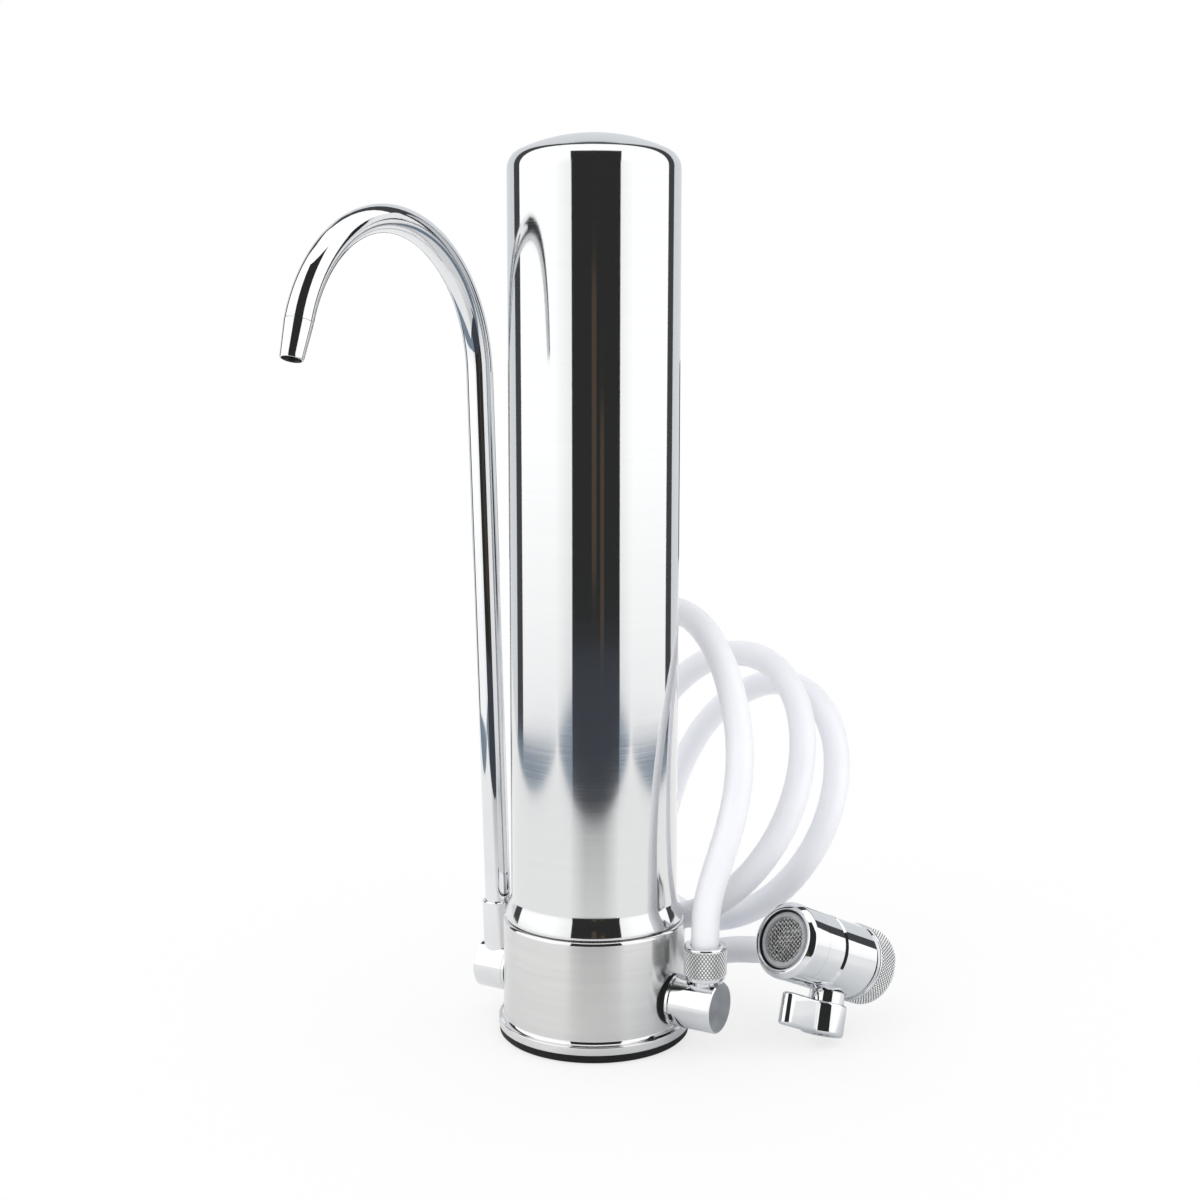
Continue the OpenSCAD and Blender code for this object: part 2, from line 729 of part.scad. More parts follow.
// Turns a vector about X, then Y, then Z, as the diverter is turned
function turn_x(v, a) = [v[0], v[1] * cos(a) - v[2] * sin(a), v[1] * sin(a) + v[2] * cos(a)];
function turn_y(v, a) = [v[0] * cos(a) + v[2] * sin(a), v[1], v[2] * cos(a) - v[0] * sin(a)];
function turn_z(v, a) = [v[0] * cos(a) - v[1] * sin(a), v[0] * sin(a) + v[1] * cos(a), v[2]];
function turned(v, a) = turn_z(turn_y(turn_x(v, a[0]), a[1]), a[2]);

// The coil stands behind the inlet, and its axis dips as it goes back
coil_mid = [6, 73.4, 84.8];
coil_turn = 67.5;
coil_dip = 23.3;
coil_r = 58.2;
coil_taper = 5.1;
coil_pitch = 26.8;
coil_from = -0.5;
coil_turns = 1.8;
coil_steps = 44;
coil_axis = [cos(coil_dip) * cos(coil_turn), cos(coil_dip) * sin(coil_turn), -sin(coil_dip)];
coil_up = [sin(coil_dip) * cos(coil_turn), sin(coil_dip) * sin(coil_turn), cos(coil_dip)];
coil_side = cross(coil_axis, coil_up);

function coil_point(t) = coil_mid + coil_pitch * t * coil_axis
    + (coil_r - coil_taper * t) * (cos(360 * t) * coil_side + sin(360 * t) * coil_up);

coil_line = [for (i = [0:coil_steps]) coil_point(coil_from + coil_turns * i / coil_steps)];
coil_in = unit(coil_line[1] - coil_point(coil_from - coil_turns / coil_steps));
coil_out = unit(coil_point(coil_from + coil_turns * (1 + 1 / coil_steps)) - coil_line[coil_steps - 1]);

// The rise from the inlet nut, over a point beside the canister, into the coil
rise_start = [inlet_x, 0, port_z + hose_start(barrel_d / 2)];
rise_free = rise_start + [0, 0, hose_straight];
rise_mid = [41, 31.7, 138];
rise_pull = [-23, 20.6, 32.3];
rise_line = concat(
    [rise_start, rise_free],
    bend(rise_free, rise_free + [0, 0, 25], rise_mid - 1.22 * rise_pull, rise_mid, 9),
    bend(rise_mid, rise_mid + rise_pull, coil_line[0] - 78 * coil_in, coil_line[0], 10)
);

// The tail from the coil, along the counter, into the diverter's port
port_way = turned([0, 1, 0], diverter_turn);
tail_end = diverter_at + hose_start(valve_r) * port_way;
tail_free = tail_end + hose_straight * port_way;
tail_mid = [-1, 77, 5.6];
tail_pull = [12.2, -11.5, 1.7];
tail_line = concat(
    bend(coil_line[coil_steps], coil_line[coil_steps] + 68 * coil_out, tail_mid - 4 * tail_pull, tail_mid, 10),
    bend(tail_mid, tail_mid + tail_pull, tail_free + 30 * port_way, tail_free, 6),
    [tail_end]
);

hose_line = concat(rise_line, [for (i = [1:coil_steps]) coil_line[i]], tail_line);
hose_last = len(hose_line) - 1;
coil_first = len(rise_line) - 1;
tail_first = coil_first + coil_steps;

// Ring of the hose at point i, square to the line there
function hose_way(i) = unit(hose_line[min(i + 1, hose_last)] - hose_line[max(i - 1, 0)]);
function hose_ring(i) = let(
    way = hose_way(i),
    side = unit(cross(way, coil_axis)),
    up = cross(side, way)
) [for (k = [0:hose_sides - 1]) let(a = 360 * k / hose_sides)
    hose_line[i] + hose_r * (cos(a) * side + sin(a) * up)];

// One stretch of the hose, from point a to point b of its line
module hose_stretch(a, b) {
    rings = b - a;
    n = hose_sides;
    points = [for (i = [a:b]) each hose_ring(i)];
    walls = [for (i = [0:rings - 1], k = [0:n - 1])
        [i * n + k, (i + 1) * n + k, (i + 1) * n + (k + 1) % n, i * n + (k + 1) % n]];
    ends = [[for (k = [0:n - 1]) k], [for (k = [n - 1:-1:0]) rings * n + k]];
    color(WHITE) polyhedron(points, concat(walls, ends), convexity = 10);
}

// Length of the hose, and the least gap between strands of it, written out when the part is drawn
hose_length = [for (i = 1, run = 0; i <= hose_last + 1;
    run = run + (i <= hose_last ? norm(hose_line[i] - hose_line[i - 1]) : 0), i = i + 1) run];
hose_gaps = [for (i = [0:hose_last], j = [i + 6:hose_last])
    if (j <= hose_last) norm(hose_line[i] - hose_line[j]) - hose_d];
echo(hose_mm = hose_length[hose_last], least_gap = min(hose_gaps));

module hose_rise() {
    hose_stretch(0, coil_first);
}

module hose_coil() {
    hose_stretch(coil_first, tail_first);
}

module hose_tail() {
    hose_stretch(tail_first, hose_last);
}

module diverter_hose_nut() {
    port_frame() hose_nut(valve_r);
}

module diverter_hose_sleeve() {
    port_frame() hose_sleeve(valve_r);
}

foot_pad();
base_cover();
base_shell();
manifold();
canister_seal();
canister();
canister_collar();
candle_washer();
candle_mount();
ceramic_candle();
carbon_block();
inlet_elbow();
inlet_washer();
inlet_gasket();
inlet_port_seal();
outlet_elbow();
outlet_washer();
outlet_gasket();
outlet_port_seal();
spout_tube();
spout_tip();
spout_plug();
spout_seals();
spout_clip();
inlet_hose_nut();
inlet_hose_sleeve();
diverter_hose_nut();
diverter_hose_sleeve();
hose_rise();
hose_coil();
hose_tail();
diverter_body();
aerator_housing();
aerator_insert();
aerator_screen();
aerator_seal();
diverter_spool();
spool_seal();
diverter_lever();
lever_screw();
swivel_nut();
tap_washer();
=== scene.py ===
import math

import bpy
from mathutils import Matrix, Vector


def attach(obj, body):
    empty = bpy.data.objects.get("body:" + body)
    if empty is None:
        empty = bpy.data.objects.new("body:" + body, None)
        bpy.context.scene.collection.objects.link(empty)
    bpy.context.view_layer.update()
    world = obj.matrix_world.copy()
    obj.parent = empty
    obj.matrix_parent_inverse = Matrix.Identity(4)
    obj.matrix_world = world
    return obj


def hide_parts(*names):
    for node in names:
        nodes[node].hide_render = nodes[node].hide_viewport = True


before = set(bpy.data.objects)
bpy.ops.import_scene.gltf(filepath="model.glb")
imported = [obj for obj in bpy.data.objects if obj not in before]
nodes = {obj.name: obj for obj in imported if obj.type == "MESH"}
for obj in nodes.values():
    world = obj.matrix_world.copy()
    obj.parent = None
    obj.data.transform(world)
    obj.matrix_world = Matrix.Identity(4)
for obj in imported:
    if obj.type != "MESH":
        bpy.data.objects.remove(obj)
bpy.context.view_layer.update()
scene = bpy.context.scene
MM = 0.001
UP = Vector((0, 0, 1))


def sind(degrees):
    return math.sin(math.radians(degrees))


def cosd(degrees):
    return math.cos(math.radians(degrees))


def turned(degrees, axis):
    return Matrix.Rotation(math.radians(degrees), 4, axis)


# Camera at the photograph's viewing angle
CAMERA_TURN, CAMERA_PITCH, CAMERA_REACH, CAMERA_HEIGHT = 30, 8.69, 0.704, 0.277
SENSOR, LENS, SHIFT = 36, 56.46, 0.0049
TO_CAMERA = Vector((sind(CAMERA_TURN), -cosd(CAMERA_TURN), 0))
TO_RIGHT = Vector((cosd(CAMERA_TURN), sind(CAMERA_TURN), 0))

camera_data = bpy.data.cameras.new("camera")
camera_data.sensor_width = SENSOR
camera_data.lens = LENS
camera_data.shift_x = SHIFT
camera = bpy.data.objects.new("camera", camera_data)
scene.collection.objects.link(camera)
camera.location = TO_CAMERA * CAMERA_REACH + UP * CAMERA_HEIGHT
camera.rotation_mode = "QUATERNION"
look = -TO_CAMERA * cosd(CAMERA_PITCH) - UP * sind(CAMERA_PITCH)
camera.rotation_quaternion = look.to_track_quat("-Z", "Y")
bpy.context.scene.camera = camera


# Mesh helpers, all in millimetres
GROOVE_SHARE, GROOVE_RISE, TINY = 0.28, 0.05, 1e-6
SKIN_TURNS, HOUSING_TURNS, SMALL_TURNS, PIN_TURNS = 192, 160, 96, 32


def add_mesh(name, points, faces, body=None, slot=None, materials=(), choose=None, sharp=35):
    """A smooth mesh with sharp edges. It rides on a body, and choose picks the finish of a face by its middle."""
    data = bpy.data.meshes.new(name)
    data.from_pydata([Vector(p) * MM for p in points], [], faces)
    data.validate()
    data.polygons.foreach_set("use_smooth", [True] * len(data.polygons))
    data.set_sharp_from_angle(angle=math.radians(sharp))
    for m in materials:
        data.materials.append(m)
    if choose:
        for p in data.polygons:
            p.material_index = choose(p.center / MM)
    thing = bpy.data.objects.new(name, data)
    scene.collection.objects.link(thing)
    if body:
        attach(thing, body)
    return thing


def lathe(profile, place=Matrix.Identity(4), turns=128, closed=True, relief=None, knurl=range(0)):
    """Points and faces of a profile of (r, z) turned about Z. relief(i, k) adds to the radius of point k of row i.
    The rows in knurl become diamonds, each a low pyramid in a groove, between the low points of the rows."""
    points, rows, faces, edges = [], [], [], {}

    def shoulder(low, peak):
        if (low, peak) not in edges:
            edges[low, peak] = len(points)
            p = points[low].lerp(points[peak], GROOVE_SHARE)
            points.append(p + GROOVE_RISE * Vector((p.x, p.y, 0)).normalized())
        return edges[low, peak]

    for i, (r, z) in enumerate(profile):
        if r < TINY:
            rows.append([len(points)] * turns)
            points.append(Vector((0, 0, z)))
            continue
        rows.append(list(range(len(points), len(points) + turns)))
        for k in range(turns):
            out = r + (relief(i, k) if relief else 0)
            a = 2 * math.pi * k / turns
            points.append(Vector((out * math.cos(a), out * math.sin(a), z)))
    for i in range(len(rows) if closed else len(rows) - 1):
        low, high = rows[i], rows[(i + 1) % len(rows)]
        for k in range(turns):
            n = (k + 1) % turns
            ring = [low[k], low[n], high[n], high[k]]
            if i in knurl and i + 1 in knurl:
                a, b, c, d = ring if (i + k) % 2 == 0 else ring[1:] + ring[:1]
                for p, q, peak in ((a, c, b), (c, a, d)):
                    near, far = shoulder(p, peak), shoulder(q, peak)
                    faces += [[near, peak, far], [p, near, far, q]]
                continue
            ring = [p for j, p in enumerate(ring) if p != ring[j - 1]]
            if len(set(ring)) > 2:
                faces.append(ring)
    return [place @ p for p in points], faces


def arc(centre, r, start, end, steps=10):
    """Points of an arc from one angle to another."""
    turns = [start + (end - start) * i / steps for i in range(steps + 1)]
    return [(centre[0] + r * cosd(a), centre[1] + r * sind(a)) for a in turns]


def hollow(r, z, w, h, steps=14):
    """Points of a hollow corner, w wide and h high, from its foot to the wall at r."""
    turns = [90 * i / steps for i in range(steps + 1)]
    return [(r + w * (1 - sind(a)), z + h * (1 - cosd(a))) for a in turns]


def tube(line, radius, sides):
    """Points and faces of a round bar along a line."""
    points, faces = [], []
    n = len(line)
    side = None
    for i, p in enumerate(line):
        way = (line[min(i + 1, n - 1)] - line[max(i - 1, 0)]).normalized()
        side = way.orthogonal() if side is None else side - way * side.dot(way)
        side.normalize()
        up = way.cross(side)
        for k in range(sides):
            a = 2 * math.pi * k / sides
            points.append(p + radius * (math.cos(a) * side + math.sin(a) * up))
    for i in range(n - 1):
        for k in range(sides):
            m = (k + 1) % sides
            faces.append([i * sides + k, i * sides + m, (i + 1) * sides + m, (i + 1) * sides + k])
    faces.append(list(range(sides))[::-1])
    faces.append([(n - 1) * sides + k for k in range(sides)])
    return points, faces


def joined(*parts):
    """Points and faces of several shapes as one."""
    points, faces = [], []
    for p, f in parts:
        faces += [[i + len(points) for i in ring] for ring in f]
        points += p
    return points, faces


# Sizes, in millimetres, as in the part
CAN_R, CAN_H, CAN_WALL, CROWN_R, SHOULDER_R = 32, 295, 0.8, 66, 8
FLARE_OUT, FLARE_H, LIP_H, LIP_Z = 2.4, 6.2, 1.2, 46.7
LIP_R = CAN_R + FLARE_OUT
BASE_H, BASE_WALL, BASE_R, ROLL_R = 46.2, 1.2, 35.2, 1.4
SKIRT_R, SKIRT_TOP, SKIRT_CURVE, FOOT_H = 37.2, 6.5, 1.6, 3.2
NECK_GAP, RIM_GAP = 0.12, 0.2
PORT_Z, INLET_X, OUTLET_X = 18.2, 48.3, 43.46
SPOUT_R, SPOUT_WALL, SPOUT_LEAN, GOOSE_R, GOOSE_SWEEP, BEND_Z = 5.1, 1, 1.8, 56, 159, 236
TIP_L, TIP_R, TIP_BORE, MOUTH_WALL, MOUTH_DEEP = 13.5, 4, 3.1, 0.35, 6
BARREL_R, NUT_R, NUT_H, NUT_LIFT, NUT_FLANGE, NUT_WALL = 9.7, 8.2, 13, 1.2, 1.8, 1.2
HOSE_D, HOSE_STRAIGHT, HOSE_START = 10.6, 12, 9.6
VALVE_R, VALVE_FRONT, AERATOR_FRONT, AERATOR_IN = 14.6, -21, -31.5, 11.4
AERATOR_DEEP, SHOULDER_L, SCREEN_R, SPIGOT_IN = 4.5, 2.3, 8.8, 1.14
SWIVEL_R, SWIVEL_X, SWIVEL_L, SWIVEL_SHOULDER, SWIVEL_NECK = 15.3, 10.6, 10.5, 2, 2
TAP_R, TAP_L = 11, 5.5
LEVER_R, LEVER_BAR, LEVER_H, LEVER_REACH = 8.2, 3, 12.2, 25.1
LEVER_COLLAR, LEVER_COLLAR_R = 3.6, 6.9
FIT_GAP = 0.06

# The diverter's frame: X towards the tap, Y towards the hose port, Z away from the lever
DIVERTER_TURN, DIVERTER_X, DIVERTER_Y, FLOOR_GAP, RESTS_IN = (-11, 24.6, 71.3), 82.2, 42.5, 0.3, 1
upright = cosd(DIVERTER_TURN[0]) * cosd(DIVERTER_TURN[1])
on_lever = (VALVE_R + LEVER_COLLAR + LEVER_H) * upright + (LEVER_R - RESTS_IN) * math.sqrt(1 - upright ** 2)
DIVERTER_AT = Vector((DIVERTER_X, DIVERTER_Y, on_lever + FLOOR_GAP))
diverter = Matrix.Translation(DIVERTER_AT)
for axis, turn in zip("ZYX", reversed(DIVERTER_TURN)):
    diverter = diverter @ turned(turn, axis)
along_valve = diverter @ turned(90, "Y")
along_port = diverter @ turned(-90, "X")
along_lever = diverter @ turned(180, "X")
on_inlet = Matrix.Translation((INLET_X, 0, PORT_Z))

# The hose's line, as in the part
COIL_MID, COIL_TURN, COIL_DIP = Vector((6, 73.4, 84.8)), 67.5, 23.3
COIL_R, COIL_TAPER, COIL_PITCH = 58.2, 5.1, 26.8
COIL_FROM, COIL_TURNS, COIL_STEPS = -0.5, 1.8, 44
RISE_MID, RISE_PULL = Vector((41, 31.7, 138)), Vector((-23, 20.6, 32.3))
TAIL_MID, TAIL_PULL = Vector((-1, 77, 5.6)), Vector((12.2, -11.5, 1.7))
RISE_LEAD, RISE_EASE, COIL_LEAD, COIL_TRAIL, TAIL_EASE, PORT_LEAD = 25, 1.22, 78, 68, 4, 30
RISE_STEPS, JOIN_STEPS, TAIL_STEPS, FINE_STEPS, HOSE_SIDES = 9, 10, 6, 5, 32


def bend(a, b, c, d, steps):
    """Points after a, up to d, of a curve that b and c pull."""
    out = []
    for i in range(1, steps + 1):
        t = i / steps
        s = 1 - t
        out.append(s * s * s * a + 3 * s * s * t * b + 3 * s * t * t * c + t * t * t * d)
    return out


coil_axis = Vector((cosd(COIL_DIP) * cosd(COIL_TURN), cosd(COIL_DIP) * sind(COIL_TURN), -sind(COIL_DIP)))
coil_up = Vector((sind(COIL_DIP) * cosd(COIL_TURN), sind(COIL_DIP) * sind(COIL_TURN), cosd(COIL_DIP)))
coil_side = coil_axis.cross(coil_up)


def coil_point(t):
    out = (COIL_R - COIL_TAPER * t) * (cosd(360 * t) * coil_side + sind(360 * t) * coil_up)
    return COIL_MID + COIL_PITCH * t * coil_axis + out


def smooth_line(line, steps):
    """A line through all the points, with steps pieces between each two."""
    ends = [2 * line[0] - line[1]] + line + [2 * line[-1] - line[-2]]
    out = []
    for a, b, c, d in zip(ends, ends[1:], ends[2:], ends[3:]):
        square, cube = 2 * a - 5 * b + 4 * c - d, 3 * b - a - 3 * c + d
        for k in range(steps):
            t = k / steps
            out.append(0.5 * (2 * b + (c - a) * t + square * t ** 2 + cube * t ** 3))
    return out + [line[-1]]


coil = [coil_point(COIL_FROM + COIL_TURNS * i / COIL_STEPS) for i in range(-1, COIL_STEPS + 2)]
coil_in = (coil[2] - coil[0]).normalized()
coil_out = (coil[-1] - coil[-3]).normalized()
coil = coil[1:-1]
rise_start = Vector((INLET_X, 0, PORT_Z + BARREL_R + HOSE_START))
rise_free = rise_start + HOSE_STRAIGHT * UP
port_way = (along_port.to_3x3() @ UP).normalized()
tail_end = DIVERTER_AT + (VALVE_R + HOSE_START) * port_way
tail_free = tail_end + HOSE_STRAIGHT * port_way
stops = [rise_start, rise_free]
stops += bend(rise_free, rise_free + RISE_LEAD * UP, RISE_MID - RISE_EASE * RISE_PULL, RISE_MID, RISE_STEPS)
stops += bend(RISE_MID, RISE_MID + RISE_PULL, coil[0] - COIL_LEAD * coil_in, coil[0], JOIN_STEPS)
stops += coil[1:]
stops += bend(coil[-1], coil[-1] + COIL_TRAIL * coil_out, TAIL_MID - TAIL_EASE * TAIL_PULL, TAIL_MID, JOIN_STEPS)
stops += bend(TAIL_MID, TAIL_MID + TAIL_PULL, tail_free + PORT_LEAD * port_way, tail_free, TAIL_STEPS)
stops += [tail_end]
hose_line = smooth_line(stops, FINE_STEPS)


# Node helpers
def shader(name, colour, metallic=0.0, roughness=0.4, **constants):
    """A material whose constants are set on the shader's own sockets."""
    m = bpy.data.materials.new(name)
    m.use_nodes = True
    tree = m.node_tree
    bsdf = tree.nodes["Principled BSDF"]
    bsdf.inputs["Base Color"].default_value = (*colour, 1)
    bsdf.inputs["Metallic"].default_value = metallic
    bsdf.inputs["Roughness"].default_value = roughness
    for key, value in constants.items():
        bsdf.inputs[key.replace("_", " ")].default_value = value
    return m, tree, bsdf


def node(tree, kind, links=(), **values):
    """A node with its settings, its sockets' values and the links to its sockets."""
    n = tree.nodes.new(kind)
    for key, value in values.items():
        if hasattr(n, key):
            setattr(n, key, value)
        else:
            n.inputs[key.replace("_", " ")].default_value = value
    for socket, source in links:
        tree.links.new(source, n.inputs[socket])
    return n


def worked(tree, kind, operation, terms):
    n = node(tree, kind, operation=operation)
    for socket, term in zip(n.inputs, terms):
        if isinstance(term, bpy.types.NodeSocket):
            tree.links.new(term, socket)
        else:
            socket.default_value = term
    return n


def maths(tree, operation, *terms):
    """Result of a sum with sockets and numbers."""
    return worked(tree, "ShaderNodeMath", operation, terms).outputs[0]


def vectors(tree, operation, *terms, result="Vector"):
    """Result of a sum with sockets and vectors."""
    return worked(tree, "ShaderNodeVectorMath", operation, terms).outputs[result]


def noise_on(tree, scale, stretch=(1, 1, 1), detail=4.0):
    """Noise in the object's own coordinates, in cells of about 1/scale metres, drawn out by stretch."""
    where = node(tree, "ShaderNodeTexCoord").outputs["Object"]
    spread = node(tree, "ShaderNodeMapping", [("Vector", where)], Scale=stretch).outputs["Vector"]
    return node(tree, "ShaderNodeTexNoise", [("Vector", spread)], Scale=scale, Detail=detail).outputs["Fac"]


def remap(tree, source, low, high, from_low=0.3, from_high=0.7):
    """A value between low and high, as the source goes from from_low to from_high."""
    n = node(tree, "ShaderNodeMapRange", [("Value", source)])
    for key, value in (("From Min", from_low), ("From Max", from_high), ("To Min", low), ("To Max", high)):
        n.inputs[key].default_value = value
    return n.outputs["Result"]


def tint(tree, source, low, high, from_low=0.3, from_high=0.7):
    """A colour between low and high, as the source goes from from_low to from_high."""
    n = node(tree, "ShaderNodeValToRGB", [("Fac", source)])
    for element, place, colour in zip(n.color_ramp.elements, (from_low, from_high), (low, high)):
        element.position = place
        element.color = (*colour, 1)
    return n.outputs["Color"]


def bumped(tree, bsdf, source, strength, distance):
    n = node(tree, "ShaderNodeBump", [("Height", source)], Strength=strength, Distance=distance)
    tree.links.new(n.outputs["Normal"], bsdf.inputs["Normal"])


# Finishes
CHROME_LOW, CHROME_HIGH = (0.76, 0.77, 0.785), (0.80, 0.81, 0.82)
CHROME_CELLS, CHROME_MID = 90, (0.78, 0.79, 0.80)
FACE_LOW, FACE_HIGH, FACE_LINES = (0.36, 0.375, 0.39), (0.49, 0.505, 0.52), 5000
FACE_FROM, FACE_TO, BARREL_ROUGH, FACE_ROUGH = 0.9, 0.97, 0.035, 0.3
BROAD_LINES, LINE_DEPTH, GRAIN_DEPTH, GRAIN_FINER = (20, 20, 420), 0.0001, 0.0002, 6
ACROSS_LINES, DRAWN_OUT = 0.25, 0.85
MIX_A, MIX_B, MIX_RESULT = 6, 7, 2


def brushed(name, low, high, rough, lines, along_lines, bump):
    """Metal with fine lines that run round the object's axis, and gloss drawn out across them."""
    gloss = {"Anisotropic": DRAWN_OUT, "Anisotropic_Rotation": ACROSS_LINES}
    m, tree, bsdf = shader(name, high, metallic=1, roughness=rough[0], **gloss)
    fine = noise_on(tree, 1, (along_lines, along_lines, lines), 5)
    broad = noise_on(tree, 1, BROAD_LINES, 3)
    both = maths(tree, "MULTIPLY", maths(tree, "ADD", fine, broad), 0.5)
    tree.links.new(tint(tree, both, low, high), bsdf.inputs["Base Color"])
    tree.links.new(remap(tree, fine, *rough), bsdf.inputs["Roughness"])
    tangent = node(tree, "ShaderNodeTangent", direction_type="RADIAL", axis="Z")
    tree.links.new(tangent.outputs["Tangent"], bsdf.inputs["Tangent"])
    bumped(tree, bsdf, fine, bump, LINE_DEPTH)
    return m


def plain(name, low, high, scale, rough, metallic=0.0, bump=0.0, **constants):
    """A finish with a slight cloudiness of colour and gloss, and a grain."""
    m, tree, bsdf = shader(name, high, metallic=metallic, roughness=rough[0], **constants)
    cloud = noise_on(tree, scale)
    tree.links.new(tint(tree, cloud, low, high), bsdf.inputs["Base Color"])
    tree.links.new(remap(tree, cloud, *rough), bsdf.inputs["Roughness"])
    if bump:
        bumped(tree, bsdf, noise_on(tree, scale * GRAIN_FINER, detail=6), bump, GRAIN_DEPTH)
    return m


def end_faced(name, axis_z):
    """Chrome whose end face towards +X is turned rougher and darker, in fine rings about the barrel's axis."""
    m, tree, bsdf = shader(name, CHROME_MID, metallic=1, roughness=0.04, Anisotropic=0.9)
    where = node(tree, "ShaderNodeTexCoord")
    facing = node(tree, "ShaderNodeSeparateXYZ", [("Vector", where.outputs["Normal"])]).outputs["X"]
    spot = vectors(tree, "SUBTRACT", where.outputs["Object"], (0, 0, axis_z))
    flat = vectors(tree, "MULTIPLY", spot, (0, 1, 1))
    ring = vectors(tree, "LENGTH", flat, result="Value")
    lines = node(tree, "ShaderNodeTexNoise", [("W", ring)], noise_dimensions="1D", Scale=FACE_LINES, Detail=3)
    face_mask = remap(tree, facing, 0, 1, FACE_FROM, FACE_TO)
    mix = node(tree, "ShaderNodeMix", [("Factor", face_mask)], data_type="RGBA")
    tree.links.new(tint(tree, noise_on(tree, CHROME_CELLS), CHROME_LOW, CHROME_HIGH), mix.inputs[MIX_A])
    tree.links.new(tint(tree, lines.outputs["Fac"], FACE_LOW, FACE_HIGH), mix.inputs[MIX_B])
    tree.links.new(mix.outputs[MIX_RESULT], bsdf.inputs["Base Color"])
    tree.links.new(remap(tree, face_mask, BARREL_ROUGH, FACE_ROUGH, 0, 1), bsdf.inputs["Roughness"])
    tree.links.new(vectors(tree, "CROSS_PRODUCT", (1, 0, 0), flat), bsdf.inputs["Tangent"])
    return m


polished = brushed("polished_steel", (0.74, 0.745, 0.75), (0.76, 0.765, 0.77), (0.06, 0.09), 2600, 14, 0.004)
satin = brushed("satin_steel", (0.65, 0.65, 0.645), (0.73, 0.73, 0.725), (0.16, 0.22), 4200, 26, 0.03)
mirror = plain("mirror_steel", (0.73, 0.73, 0.73), (0.77, 0.77, 0.77), 60, (0.04, 0.07), 1)
chrome = plain("chrome", CHROME_LOW, CHROME_HIGH, CHROME_CELLS, (0.02, 0.05), 1)
# Knurl diamonds: a rougher finish, with painted highlight in a colour lighter than the plain chrome's
knurled = plain("knurl_highlight_chrome", (0.91, 0.915, 0.925), (0.94, 0.945, 0.955), 300, (0.36, 0.44), 0.5)
# Knurl grooves: rougher metal, with painted shade in a colour far darker than the chrome's
groove_shade_chrome = plain("groove_shade_chrome", (0.16, 0.162, 0.165), (0.20, 0.202, 0.205), 300, (0.5, 0.6), 0.55)
# Painted shade inside the spout's bore, as a dark metal
bore_shade_steel = plain("bore_shade_steel", (0.26, 0.26, 0.265), (0.34, 0.34, 0.345), 300, (0.4, 0.5), 1)
wire_steel = plain("wire_steel", (0.66, 0.66, 0.65), (0.74, 0.74, 0.73), 400, (0.25, 0.34), 1)
steel = plain("steel", (0.52, 0.52, 0.51), (0.62, 0.62, 0.61), 400, (0.22, 0.34), 1, 0.05)
brass = plain("brass", (0.60, 0.44, 0.19), (0.72, 0.55, 0.27), 250, (0.2, 0.32), 1, 0.05)
rubber = plain("black_rubber", (0.007, 0.007, 0.008), (0.014, 0.014, 0.015), 900, (0.5, 0.66), 0, 0.2,
               Specular_IOR_Level=0.2)
black = plain("black_plastic", (0.012, 0.012, 0.013), (0.026, 0.026, 0.027), 700, (0.38, 0.5), 0, 0.12)
white = plain("white_plastic", (0.80, 0.80, 0.80), (0.86, 0.86, 0.86), 300, (0.32, 0.42), 0, 0.06)
grey = plain("grey_plastic", (0.30, 0.31, 0.325), (0.38, 0.39, 0.405), 500, (0.4, 0.5), 0, 0.08)
ceramic = plain("ceramic", (0.80, 0.785, 0.745), (0.87, 0.86, 0.83), 700, (0.78, 0.92), 0, 0.3)
carbon = plain("carbon", (0.014, 0.014, 0.015), (0.045, 0.045, 0.046), 1200, (0.82, 0.95), 0, 0.6)
hose_white = plain("white_hose", (0.885, 0.895, 0.945), (0.915, 0.925, 0.97), 45, (0.3, 0.38), 0, 0.03,
                   Subsurface_Weight=0.25, Subsurface_Radius=(0.004, 0.004, 0.005), Subsurface_Scale=1.0)
elbow_chrome = end_faced("elbow_chrome", PORT_Z * MM)

FINISHES = {
    rubber: ["foot_pad", "canister_seal", "candle_washer", "inlet_gasket", "inlet_port_seal", "outlet_gasket",
             "outlet_port_seal", "spout_seals", "aerator_seal", "spool_seal", "tap_washer"],
    black: ["base_cover"],
    white: ["manifold", "candle_mount"],
    polished: ["canister"],
    satin: ["base_shell"],
    steel: ["canister_collar", "spout_clip", "lever_screw", "aerator_screen"],
    ceramic: ["ceramic_candle"],
    carbon: ["carbon_block"],
    elbow_chrome: ["inlet_elbow"],
    chrome: ["inlet_washer", "outlet_elbow", "outlet_washer", "spout_tube", "spout_tip", "inlet_hose_nut",
             "diverter_hose_nut", "diverter_body", "aerator_housing", "diverter_lever", "swivel_nut"],
    brass: ["spout_plug", "inlet_hose_sleeve", "diverter_hose_sleeve", "diverter_spool"],
    grey: ["aerator_insert"],
    hose_white: ["hose_rise", "hose_coil", "hose_tail"],
}
for finish, names in FINISHES.items():
    for name in names:
        nodes[name].data.materials.clear()
        nodes[name].data.materials.append(finish)

# Hose
hose = add_mesh("hose", *tube(hose_line, HOSE_D / 2, HOSE_SIDES), "base", "white_hose", [hose_white])
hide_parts("hose_rise", "hose_coil", "hose_tail")

# Canister with a smooth shoulder and crown
LIP_ROUND, LIP_CUT, LIP_BEVEL, CREASE_ROWS, ROUND_STEPS = 0.35, 0.3, 0.2, (0.5, 1.4), 20


